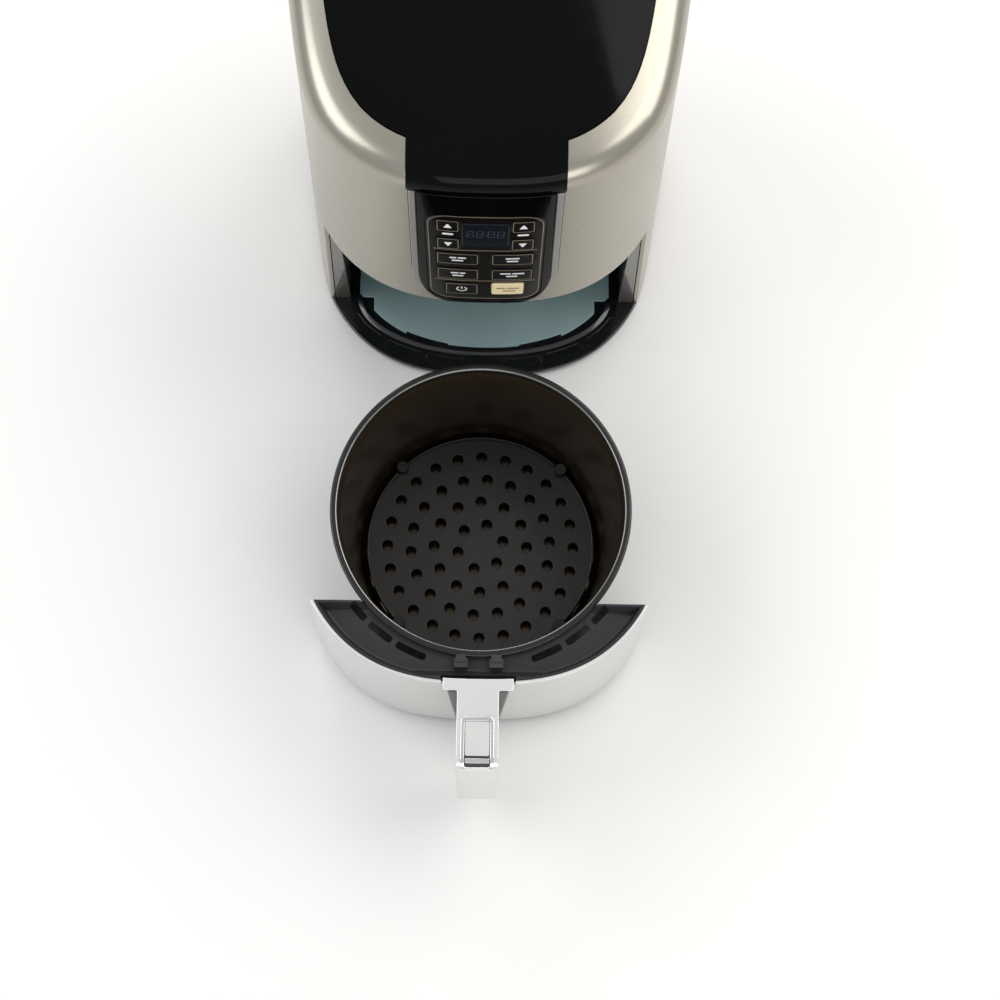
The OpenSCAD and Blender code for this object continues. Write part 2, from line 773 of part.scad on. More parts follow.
rim_top = front_top - 2;
rim_roll = 1.5;
basket_wall = 1.3;
basket_bottom = drawer_z + 1;
floor_fillet = 8;
module basket() {
    inner_top = rim_r - rim_w;
    floor_z = basket_bottom + 1.6;
    outer_r = basket_floor_r + basket_wall;
    fillet = [for (k = [0:6]) let (a = 90 * k / 6)
        [basket_floor_r - floor_fillet * (1 - sin(a)), floor_z + floor_fillet * (1 - cos(a))]];
    outer_fillet = [for (k = [6:-1:0]) let (a = 90 * k / 6)
        [outer_r - floor_fillet * (1 - sin(a)), basket_bottom + floor_fillet * (1 - cos(a))]];
    roll = [for (k = [0:6]) let (a = 180 * k / 6)
        [rim_r - rim_roll + rim_roll * sin(a), rim_top - rim_roll + rim_roll * cos(a)]];
    color("#2b2826") drawer() translate([0, basket_y, 0]) rotate_extrude($fn = 160) polygon(concat(
        [[0, floor_z]],
        fillet,
        [[inner_top, rim_top - 1.5], [inner_top + 0.6, rim_top]],
        roll,
        [[inner_top + basket_wall, rim_top - 2 * rim_roll]],
        outer_fillet,
        [[0, basket_bottom]]));
}

deck_z = [138.5, 140.6];
tray_inset = front_wall + fit;
tray_wall = 1.6;
rib_x = 20;
deck_hole_r = rim_r - rim_w + basket_wall + 0.8;
skirt_r = rim_r - 0.4;
chord_y = -46.4;
slot_r = 110;
slot_w = 5;
slots = [[19, 30.5], [32.5, 42.5], [44.5, 52]];
slot_end_y = -3;

// Crescent between the drawer front and the basket
module crescent(z, inset, hole_r, back = 0) {
    difference() {
        polygon(outline(z, inset));
        translate([-big, back]) square(2 * big);
        translate([0, basket_y]) circle(hole_r, $fn = 160);
    }
}

// Blunt-ended slot round the basket's axis, between two angles from the front
function blunt(c) = sign(c) * pow(abs(c), 1 / 3);
module arc_slot(a0, a1) {
    translate([0, basket_y]) polygon([
        for (t = [5:10:355])
            let (a = (a0 + a1) / 2 + (a1 - a0) / 2 * blunt(cos(t)))
            let (r = slot_r + slot_w / 2 * blunt(sin(t)))
            r * [sin(a), -cos(a)]]);
}

module handle_screw_holes(r) {
    mirrored() translate([screw_x, -40, screw_z]) rotate([90, 0, 0]) cylinder(h = 40, r = r, $fn = 32);
}

module drawer_tray() {
    tray_top = front_top - 0.6;
    seat_top = rim_top - 2 * rim_roll;
    color("#3c3c3e") drawer() difference() {
        translate([0, 0, drawer_z]) linear_extrude(tray_top - drawer_z)
            crescent(tray_top, tray_inset, deck_hole_r);
        // Room for the basket below and above the seat of its rim
        translate([0, basket_y, drawer_z - 1]) cylinder(h = deck_z[0] - drawer_z + 1, r = skirt_r, $fn = 160);
        translate([0, basket_y, seat_top]) cylinder(h = 20, r = rim_r + 0.5, $fn = 160);
        // Hollow, open below, with a rib on each side of the handle
        translate([0, 0, drawer_z - 1]) linear_extrude(deck_z[0] - drawer_z + 1) difference() {
            crescent(tray_top, tray_inset + tray_wall, skirt_r + tray_wall, -tray_wall);
            mirrored() translate([rib_x, -80]) square([tray_wall, 100]);
        }
        // Recessed deck inside the raised rim
        translate([0, 0, deck_z[1]]) linear_extrude(20) intersection() {
            crescent(tray_top, tray_inset + 4, rim_r + 0.3, -tray_wall);
            translate([-big, chord_y]) square(2 * big);
        }
        translate([0, 0, deck_z[0] - 1]) linear_extrude(4) intersection() {
            mirrored() for (s = slots) arc_slot(s[0], s[1]);
            translate([-big, slot_end_y - 2 * big]) square(2 * big);
        }
        handle_screw_holes(2.1);
    }
}

// Gap between the drawer front and the body's sides when the drawer is closed
closed_gap = 0.4;
module drawer_front() {
    color("#cdd0ce") drawer() difference() {
        loft([[drawer_z, 0], [front_top, 0]]);
        loft([[drawer_z - 1, front_wall], [front_top + 1, front_wall]]);
        box(-big, big, -closed_gap, big, 0, big);
        handle_screw_holes(2.1);
    }
}

clip_x = 12;
module basket_clips() {
    color("#333335") drawer() mirrored() {
        box(clip_x - 4.6, clip_x + 4.6, -44.6, basket_y - rim_r - 0.9, deck_z[1], rim_top + 0.3);
        box(clip_x - 3.4, clip_x + 3.4, -41, basket_y - rim_r + 1.6, rim_top + 0.3 - eps, rim_top + 1.1);
    }
}

// ---------------------------------------------------------------- handle

cover_top = front_top + 1.6;
cover_t = 1.5;
bend_r = 9;
bend_steps = 8;
bar_y = [52.7, 60.5];
arm_z = 116;
grip_t = 19;
screw_x = 9;
screw_z = 132;
// Side view of the handle's outer line, from the cross bar round the bend to the grip's foot
function handle_line(inset) = concat(
    [[-bar_y[0], cover_top - inset]],
    [for (k = [0:bend_steps]) let (a = 85 * k / bend_steps)
        [-stem_reach - (bend_r - inset) * sin(a), cover_top - bend_r + (bend_r - inset) * cos(a)]],
    [[-grip_reach + inset, grip_z]]);

// Extrudes a side view [y, z] across the handle
module side_view(half) {
    rotate([90, 0, 90]) linear_extrude(2 * half, center = true) children();
}

module handle_cover() {
    line = handle_line(0);
    back = handle_line(cover_t);
    color("#dcdbd8") drawer() {
        side_view(stem_half_w) polygon(concat(line, [for (k = [len(back) - 1:-1:0]) back[k]]));
        translate([0, -(bar_y[0] + bar_y[1]) / 2, cover_top - cover_t]) linear_extrude(cover_t)
            rounded(2 * bar_half_w, bar_y[1] - bar_y[0], 0.8);
    }
}

module handle_core() {
    core_half = stem_half_w - 0.6;
    gap_roof = 12;
    color("#8c8c8a") drawer() difference() {
        union() {
            intersection() {
                side_view(core_half) polygon(concat(
                    handle_line(cover_t + 0.05),
                    [[-grip_reach + grip_t - 4, grip_z], [-grip_reach + grip_t, grip_z + 6]],
                    [for (k = [0:6]) let (a = 90 * k / 6)
                        [-stem_reach + 13 + gap_roof * (1 - cos(a)), arm_z - gap_roof * (1 - sin(a))]],
                    [[-bar_y[0], arm_z]]));
                box(-big, big, -big, big, 0, big);
            }
            translate([0, 0, arm_z]) linear_extrude(cover_top - cover_t - 0.05 - arm_z) mirrored()
                polygon([[0, -bar_y[0]], [22.5, -bar_y[0]], [core_half, -79], [0, -79]]);
        }
        loft([[drawer_z - 1, -0.05], [front_top, -0.05]]);
        box(-big, big, -bar_y[0] - 1.4, big, 0, big);
        handle_screw_holes(2);
    }
}

bezel_y = [78, 103];
module bezel_area(gap) {
    translate([0, -(bezel_y[0] + bezel_y[1]) / 2])
        rounded(22.4 - 2 * gap, bezel_y[1] - bezel_y[0] - 2 * gap, 3.5 - gap / 2);
}
module handle_bezel() {
    color("#e4e4e6") drawer() translate([0, 0, cover_top]) linear_extrude(1.1) difference() {
        bezel_area(0);
        bezel_area(3);
    }
}
module handle_pad() {
    color("#c9c8c5") drawer() translate([0, 0, cover_top]) linear_extrude(0.5) bezel_area(3.1);
}

module handle_screws() {
    color("#8a8a8c") drawer() mirrored() translate([screw_x, -48.5, screw_z]) rotate([90, 0, 0]) {
        cylinder(h = 3.4, r = 3.8, $fn = 32);
        cylinder(h = 28, r = 1.95, $fn = 32);
    }
}

// ---------------------------------------------------------------- crisper

crisper_z = 22;
crisper_r = 85;
crisper_t = 1.4;
// The rubber bumpers grip the edge of the plate in a groove round their necks
bumper_at = crisper_r - 0.6;
bumper_r = 4.3;
bumper_neck_r = 3.4;
module on_basket(z = 0) { drawer() translate([0, basket_y, z]) children(); }

module crisper_plate() {
    color("#343231") on_basket(crisper_z) difference() {
        union() {
            cylinder(h = crisper_t, r = crisper_r, $fn = 120);
            difference() {
                cylinder(h = 5, r = crisper_r, $fn = 120);
                translate([0, 0, -1]) cylinder(h = 7, r = crisper_r - crisper_t, $fn = 120);
            }
        }
        for (row = [1:4]) around(6 * row, 15 * row)
            translate([17.5 * row, 0, -1]) cylinder(h = 4, r = 4, $fn = 32);
        around(4, 45) translate([bumper_at, 0, -1]) cylinder(h = 10, r = bumper_neck_r + 0.1, $fn = 48);
        around(4, 45) translate([bumper_at, 0, crisper_t]) cylinder(h = 10, r = bumper_r + 0.1, $fn = 48);
    }
}

module plate_bumpers() {
    leg_z = basket_bottom + 1.9;
    color("#2a2a2a") around_basket() {
        translate([bumper_at, 0, crisper_z - 6]) difference() {
            cylinder(h = 14, r = bumper_r, $fn = 48);
            translate([0, 0, 6 - 0.05]) difference() {
                cylinder(h = crisper_t + 0.1, r = bumper_r + 1, $fn = 48);
                translate([0, 0, -1]) cylinder(h = crisper_t + 3, r = bumper_neck_r, $fn = 48);
            }
        }
        translate([crisper_r - 4, 0, leg_z]) cylinder(h = crisper_z - 6 - leg_z + eps, r = 2.6, $fn = 32);
    }
}
module around_basket() { on_basket() around(4, 45) children(); }

base_ledge();
floor_plate();
feet();
base_screws();
outer_shell();
top_cover();
panel_fascia();
panel_trim_left();
panel_trim_right();
keypad_plate();
display_window();
display_module();
control_board();
tact_switches();
temp_up_button();
temp_down_button();
time_up_button();
time_down_button();
mode_button_1();
mode_button_2();
mode_button_3();
mode_button_4();
power_button();
start_button();
bay_frame();
bay_liner();
heat_shield();
fan_guard();
heating_element();
element_clips();
temperature_sensor();
thermal_fuse();
convection_fan();
motor_shaft();
motor_rotor();
cooling_fan();
motor_housing();
motor_bushes();
motor_bracket();
exhaust_duct();
power_board();
interlock_switch();
rear_vent();
cord_gland();
basket();
drawer_tray();
drawer_front();
basket_clips();
handle_cover();
handle_core();
handle_bezel();
handle_pad();
handle_screws();
crisper_plate();
plate_bumpers();
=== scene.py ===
"""Air fryer with its basket drawer pulled out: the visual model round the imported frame."""
import math

import bmesh
import bpy
from mathutils import Matrix, Vector
from mathutils.geometry import tessellate_polygon


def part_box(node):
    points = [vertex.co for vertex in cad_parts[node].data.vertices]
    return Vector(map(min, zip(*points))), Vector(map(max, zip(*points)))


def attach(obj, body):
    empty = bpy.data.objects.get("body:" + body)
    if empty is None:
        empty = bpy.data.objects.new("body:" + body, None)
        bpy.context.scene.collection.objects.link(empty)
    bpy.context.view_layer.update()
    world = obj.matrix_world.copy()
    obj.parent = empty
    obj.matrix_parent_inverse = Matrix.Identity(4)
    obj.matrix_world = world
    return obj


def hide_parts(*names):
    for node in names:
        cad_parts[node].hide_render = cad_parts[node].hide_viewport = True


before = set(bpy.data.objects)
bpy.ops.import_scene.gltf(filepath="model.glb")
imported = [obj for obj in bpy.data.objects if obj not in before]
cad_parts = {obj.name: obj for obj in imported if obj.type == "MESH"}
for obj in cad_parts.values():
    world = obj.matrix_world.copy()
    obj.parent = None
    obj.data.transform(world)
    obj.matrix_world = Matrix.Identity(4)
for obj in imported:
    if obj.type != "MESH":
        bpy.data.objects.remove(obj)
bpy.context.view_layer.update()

MM = 0.001
scene = bpy.context.scene

# ---------------------------------------------------------------- sizes, in millimetres, as in the CAD

HALF_W, FRONT_DEPTH, BACK_DEPTH, WIDEST_Y = 140.0, 183.0, 103.0, 121.0
FRONT_POWER, BACK_POWER, DRAFT = 2.7, 2.5, 0.00021
WALL, SHOULDER, SHOULDER_Z, PROUD = 2.6, 17.0, 316.0, 0.8
LEDGE_TOP, OVERHANG_Z, BASKET_Y = 6.5, 150.4, 66.5
DRAWER_Z, FRONT_TOP, RIM_R, RIM_TOP = 8.0, 148.0, 103.8, 146.0
CENTRE_X = 60.0
FLANK_FLAT, FLANK_DEPTH = 4.0, 110.0
CLOSED_GAP = 0.4


def middle_y(node):
    lo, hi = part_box(node)
    return (lo.y + hi.y) / 2 / MM


UNIT_Y = middle_y("motor_shaft") - BASKET_Y
DRAWER_Y = middle_y("basket") - BASKET_Y


def unit_at(x, y, z):
    return Vector((x, y + UNIT_Y, z))


def drawer_at(x, y, z):
    return Vector((x, y + DRAWER_Y, z))


# ---------------------------------------------------------------- outline of the body

def shrink(z):
    return 1 - DRAFT * z


def superellipse(t, power):
    return abs(t) ** (2 / power)


def flank(y):
    """Share of the half width that the flattened side keeps at depth y."""
    return 1 - FLANK_FLAT / HALF_W * math.sin(math.pi * y / FLANK_DEPTH) if 0 < y < FLANK_DEPTH else 1.0


def outline_point(z, inset, column):
    """Point of the body's outline. A column is (kind, side, value), and keeps its place at every height."""
    kind, side, v = column
    hw = HALF_W * shrink(z) - inset
    fd = FRONT_DEPTH * shrink(z) - inset
    bd = BACK_DEPTH * shrink(z) - inset
    p = FRONT_POWER
    if kind == "x":
        x = min(v, hw * 0.98)
        y = WIDEST_Y - fd * (1 - (x / hw) ** p) ** (1 / p)
    elif kind == "front":
        t0 = math.acos(min(1, CENTRE_X / hw) ** (p / 2))
        t1 = math.asin(min(1, WIDEST_Y / fd) ** (p / 2))
        t = t0 + (t1 - t0) * v
        x, y = hw * superellipse(math.cos(t), p), WIDEST_Y - fd * superellipse(math.sin(t), p)
    elif kind == "side":
        y = WIDEST_Y * v
        x = hw * (1 - min(1, (WIDEST_Y - y) / fd) ** p) ** (1 / p) * flank(y)
    else:
        t = math.radians(90) * v
        x = hw * superellipse(math.cos(t), BACK_POWER)
        y = WIDEST_Y + bd * superellipse(math.sin(t), BACK_POWER)
    return side * x, y


CENTRE_XS = [0, 6, 12, 18, 24, 30, 36, 43, 49.4, 55]


def half_columns(side, last="back"):
    columns = [("x", side, x) for x in CENTRE_XS[1:]]
    columns += [("front", side, k / 16) for k in range(17)]
    if last == "back":
        columns += [("side", side, k / 16) for k in range(1, 17)]
        columns += [("back", side, k / 40) for k in range(1, 40)]
    return columns


FRONT_COLUMNS = half_columns(-1, "corner")[::-1] + [("x", 1, 0)] + half_columns(1, "corner")
ALL_COLUMNS = [("x", 1, 0)] + half_columns(1) + [("back", 1, 1)] + half_columns(-1)[::-1]


def sag(x, z):
    p, hw = FRONT_POWER, HALF_W * shrink(z)
    return FRONT_DEPTH * shrink(z) * (1 - (1 - (abs(x) / hw) ** p) ** (1 / p))


def front_y(x, z, inset=0.0):
    return outline_point(z, inset, ("x", 1, abs(x)))[1]


# ---------------------------------------------------------------- mesh helpers

def finish_mesh(name, bm, place, body, slot, mat, whole=False, bevel=0.0, smooth=35, cutters=()):
    """Makes the object: place turns local millimetres into those of the frame.

    A whole piece takes the place of the CAD node that its slot names."""
    for v in bm.verts:
        v.co = place(*v.co)
    bmesh.ops.recalc_face_normals(bm, faces=bm.faces[:])
    mesh = bpy.data.meshes.new(name)
    bm.to_mesh(mesh)
    bm.free()
    mesh.transform(Matrix.Scale(MM, 4))
    obj = bpy.data.objects.new(name, mesh)
    scene.collection.objects.link(obj)
    mesh.materials.append(mat)
    if cutters:
        cut(obj, cutters)
        mesh = obj.data
    shade(mesh, math.radians(smooth))
    if bevel:
        add_bevel(obj, bevel)
    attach(obj, body)
    if whole:
        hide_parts(slot)
    return obj


def shade(mesh, limit):
    """Smooth faces, sharp at steep edges and where a flat cap meets its rounded edge."""
    bm = bmesh.new()
    bm.from_mesh(mesh)
    caps = bm.faces.layers.int.get("cap")
    for face in bm.faces:
        face.smooth = True
    for edge in bm.edges:
        pair = edge.link_faces
        if len(pair) == 2:
            edge_of_cap = caps is not None and pair[0][caps] != pair[1][caps]
            edge.smooth = edge.calc_face_angle(0) < limit and not edge_of_cap
    bm.to_mesh(mesh)
    bm.free()


def add_bevel(obj, width):
    mod = obj.modifiers.new("edges", "BEVEL")
    mod.width = width * MM
    mod.segments = 2
    mod.limit_method = "ANGLE"
    mod.angle_limit = math.radians(40)
    mod.use_clamp_overlap = True
    normals = obj.modifiers.new("normals", "WEIGHTED_NORMAL")
    normals.keep_sharp = False


def cut(obj, cutters):
    """Takes the closed bmeshes in cutters, in millimetres of the frame, away from obj."""
    made = []
    for bm in cutters:
        mesh = bpy.data.meshes.new("cutter")
        bmesh.ops.recalc_face_normals(bm, faces=bm.faces[:])
        bm.to_mesh(mesh)
        bm.free()
        mesh.transform(Matrix.Scale(MM, 4))
        tool = bpy.data.objects.new("cutter", mesh)
        scene.collection.objects.link(tool)
        made.append(tool)
        mod = obj.modifiers.new("cut", "BOOLEAN")
        mod.operation = "DIFFERENCE"
        mod.solver = "EXACT"
        mod.object = tool
    result = bpy.data.meshes.new_from_object(obj.evaluated_get(bpy.context.evaluated_depsgraph_get()))
    obj.modifiers.clear()
    old = obj.data
    result.name = old.name + "_cut"
    obj.data = result
    bpy.data.meshes.remove(old)
    for tool in made:
        mesh = tool.data
        bpy.data.objects.remove(tool)
        bpy.data.meshes.remove(mesh)


def offset_loop(loop, d):
    """Moves a closed loop to its left by d, mitred."""
    if not d:
        return [tuple(p) for p in loop]
    out, n = [], len(loop)
    for i in range(n):
        x0, y0 = loop[i - 1]
        x1, y1 = loop[i]
        x2, y2 = loop[(i + 1) % n]
        ax, ay, bx, by = x1 - x0, y1 - y0, x2 - x1, y2 - y1
        la, lb = math.hypot(ax, ay) or 1, math.hypot(bx, by) or 1
        nx, ny = -ay / la - by / lb, ax / la + bx / lb
        ln = math.hypot(nx, ny) or 1
        nx, ny = nx / ln, ny / ln
        k = d / max(0.4, nx * -ay / la + ny * ax / la)
        out.append((x1 + nx * k, y1 + ny * k))
    return out


def area(loop):
    return sum(a[0] * b[1] - b[0] * a[1] for a, b in zip(loop, loop[1:] + loop[:1])) / 2


def ccw(loop):
    return loop if area(loop) > 0 else loop[::-1]


def add_band(bm, rings):
    """Faces between closed rings of vertices."""
    n = len(rings[0])
    for a, b in zip(rings, rings[1:]):
        for i in range(n):
            bm.faces.new((a[i], a[(i + 1) % n], b[(i + 1) % n], b[i]))


def add_walls(bm, loop, rings):
    """Walls through [inset, z] rings of one loop. Returns the vertices of every ring."""
    made = [[bm.verts.new((x, y, z)) for x, y in offset_loop(loop, inset)] for inset, z in rings]
    add_band(bm, made)
    return made


def add_cap(bm, rings):
    caps = bm.faces.layers.int.get("cap") or bm.faces.layers.int.new("cap")
    points = [[v.co.copy() for v in ring] for ring in rings]
    flat = [v for ring in rings for v in ring]
    for tri in tessellate_polygon(points):
        corners = [flat[i] for i in tri]
        if len(set(corners)) == 3 and not bm.faces.get(corners):
            bm.faces.new(corners)[caps] = 1


def quarter(r, z, up, steps=3):
    """Rings of a rounded edge of radius r that ends flat at height z."""
    s = 1 if up else -1
    if r <= 0:
        return [(0.0, z)]
    return [(r * (1 - math.cos(math.radians(90) * k / steps)),
             z - s * r * (1 - math.sin(math.radians(90) * k / steps))) for k in range(steps + 1)]


def plate(outer, z0, z1, holes=(), pockets=(), top=0.3, bottom=0.3, steps=3):
    """Closed plate from a 2-D outline, with through holes and blind pockets [loop, depth], edges rounded."""
    bm = bmesh.new()
    rings = quarter(bottom, z0, False, steps)[::-1] + quarter(top, z1, True, steps)
    made = [add_walls(bm, ccw(outer), rings)]
    made += [add_walls(bm, ccw(h)[::-1], rings) for h in holes]
    add_cap(bm, [m[0] for m in made])
    tops = [m[-1] for m in made]
    for loop, depth in pockets:
        down = quarter(min(top, depth / 2), z1, True, steps)[::-1] + [(0.0, z1 - depth)]
        m = add_walls(bm, ccw(loop)[::-1], down)
        tops.append(m[0])
        add_cap(bm, [m[-1]])
    add_cap(bm, tops)
    return bm


def slice_mesh(bm, axis, values):
    for value in values:
        co, no = [0, 0, 0], [0, 0, 0]
        co[axis], no[axis] = value, 1
        geom = bm.verts[:] + bm.edges[:] + bm.faces[:]
        bmesh.ops.bisect_plane(bm, geom=geom, dist=1e-4, plane_co=co, plane_no=no)


def steps_between(a, b, n):
    return [a + (b - a) * k / n for k in range(n + 1)]


def arc(r, start, end, n, cx=0.0, cy=0.0):
    """Points on a circle, from start to end in degrees, in n steps."""
    angles = [math.radians(a) for a in steps_between(start, end, n)]
    return [(cx + r * math.cos(a), cy + r * math.sin(a)) for a in angles]


def rounded_rect(w, h, r, cx=0.0, cy=0.0, steps=6):
    loop = []
    for qx, qy, start in ((1, -1, -90), (1, 1, 0), (-1, 1, 90), (-1, -1, 180)):
        loop += arc(r, start, start + 90, steps, cx + qx * (w / 2 - r), cy + qy * (h / 2 - r))
    return loop


def circle(r, cx=0.0, cy=0.0, n=32):
    return arc(r, 0, 360, n, cx, cy)[:-1]


def revolve(profile, n, cx=0.0, cy=0.0):
    """Closed [r, z] profile turned about a vertical axis; points on the axis share one vertex."""
    bm = bmesh.new()
    rings = []
    for r, z in profile:
        if r < 1e-6:
            rings.append([bm.verts.new((cx, cy, z))] * n)
        else:
            rings.append([bm.verts.new((x, y, z)) for x, y in circle(r, cx, cy, n)])
    for a, b in zip(rings, rings[1:]):
        for k in range(n):
            corners = []
            for v in (a[k], a[(k + 1) % n], b[(k + 1) % n], b[k]):
                if v not in corners:
                    corners.append(v)
            if len(corners) > 2:
                bm.faces.new(corners)
    return bm


def grid_skin(columns, outer, inner, closed, keep, crown=None):
    """Two skins through the same cells, joined round the edge of the cells that are kept.

    A row is (z, inset, height of the outline, scale about the crown). With a crown [x, y, rise], the last
    row is closed over the middle instead of being an edge."""
    bm = bmesh.new()
    cx, cy, rise = crown or (0, 0, 0)
    n, m = len(columns), len(outer)
    skins = [[[None] * n for _ in range(m)] for _ in range(2)]

    def vert(s, j, i):
        i %= n
        if skins[s][j][i] is None:
            z, inset, cz, scale = (*(outer, inner)[s][j], 1.0)[:4]
            x, y = outline_point(cz, inset, columns[i])
            skins[s][j][i] = bm.verts.new((cx + (x - cx) * scale, cy + (y - cy) * scale, z))
        return skins[s][j][i]

    count = n if closed else n - 1
    kept = {(j, i) for j in range(m - 1) for i in range(count) if keep(j, i)}
    for j, i in sorted(kept):
        a, b = (j, i), (j, i + 1)
        c, d = (j + 1, i + 1), (j + 1, i)
        bm.faces.new([vert(0, *q) for q in (a, b, c, d)])
        bm.faces.new([vert(1, *q) for q in (d, c, b, a)])
        right, left = ((i + 1) % n if closed else i + 1), ((i - 1) % n if closed else i - 1)
        for near, p, q in (((j - 1, i), a, b), ((j, right), b, c), ((j + 1, i), c, d), ((j, left), d, a)):
            if near not in kept and not (crown and near[0] == m - 1):
                bm.faces.new([vert(1, *p), vert(1, *q), vert(0, *q), vert(0, *p)])
    if crown:
        for s in range(2):
            centre = bm.verts.new((cx, cy, (outer, inner)[s][-1][0] + rise))
            for i in range(n):
                pair = [vert(s, m - 1, i), vert(s, m - 1, i + 1)]
                bm.faces.new((pair if s == 0 else pair[::-1]) + [centre])
    return bm


# ---------------------------------------------------------------- materials

def link(tree, a, out, b, into):
    tree.links.new(a.outputs[out], b.inputs[into])


def material(name, color, rough, metallic=0.0, vary=0.05, scale=35.0, rough_vary=0.05, bump=0.15,
             grain=1400.0, stretch=(1, 1, 1), coat=0.0, coat_rough=0.05, specular=0.5, wear=None,
             emission=None):
    """Procedural finish: slow colour drift, roughness drift and a fine grain in the surface."""
    mat = bpy.data.materials.new(name)
    mat.use_nodes = True
    tree = mat.node_tree
    shader = tree.nodes["Principled BSDF"]
    shader.inputs["Metallic"].default_value = metallic
    shader.inputs["Specular IOR Level"].default_value = specular
    shader.inputs["Coat Weight"].default_value = coat
    shader.inputs["Coat Roughness"].default_value = coat_rough
    if emission:
        shader.inputs["Emission Color"].default_value = (*emission[0], 1)
        shader.inputs["Emission Strength"].default_value = emission[1]
    coords = tree.nodes.new("ShaderNodeTexCoord")
    mapping = tree.nodes.new("ShaderNodeMapping")
    mapping.inputs["Scale"].default_value = stretch
    link(tree, coords, "Object", mapping, "Vector")

    def noise(size, detail):
        node = tree.nodes.new("ShaderNodeTexNoise")
        node.inputs["Scale"].default_value = size
        node.inputs["Detail"].default_value = detail
        link(tree, mapping, "Vector", node, "Vector")
        return node

    def ramp(source, low, high):
        node = tree.nodes.new("ShaderNodeMapRange")
        node.inputs["From Min"].default_value = 0.3
        node.inputs["From Max"].default_value = 0.7
        node.inputs["To Min"].default_value = low
        node.inputs["To Max"].default_value = high
        link(tree, source, "Fac", node, "Value")
        return node

    drift = noise(scale, 3)
    mix = tree.nodes.new("ShaderNodeMix")
    mix.data_type = "RGBA"
    mix.inputs["A"].default_value = (*[c * (1 - vary) for c in color], 1)
    mix.inputs["B"].default_value = (*[min(1, c * (1 + vary)) for c in color], 1)
    tree.links.new(ramp(drift, 0, 1).outputs["Result"], mix.inputs["Factor"])
    top = mix
    if wear:
        speck = noise(wear[0], 6)
        chips = tree.nodes.new("ShaderNodeMapRange")
        chips.inputs["From Min"].default_value = wear[1]
        chips.inputs["From Max"].default_value = wear[1] + 0.06
        link(tree, speck, "Fac", chips, "Value")
        top = tree.nodes.new("ShaderNodeMix")
        top.data_type = "RGBA"
        top.inputs["B"].default_value = (*wear[2], 1)
        tree.links.new(mix.outputs["Result"], top.inputs["A"])
        tree.links.new(chips.outputs["Result"], top.inputs["Factor"])
    tree.links.new(top.outputs["Result"], shader.inputs["Base Color"])
    rough_map = ramp(noise(scale * 3.1, 4), max(0.02, rough - rough_vary), min(1, rough + rough_vary))
    tree.links.new(rough_map.outputs["Result"], shader.inputs["Roughness"])
    if bump:
        relief = tree.nodes.new("ShaderNodeBump")
        relief.inputs["Strength"].default_value = bump
        relief.inputs["Distance"].default_value = 0.0002
        link(tree, noise(grain, 2), "Fac", relief, "Height")
        link(tree, relief, "Normal", shader, "Normal")
    return mat


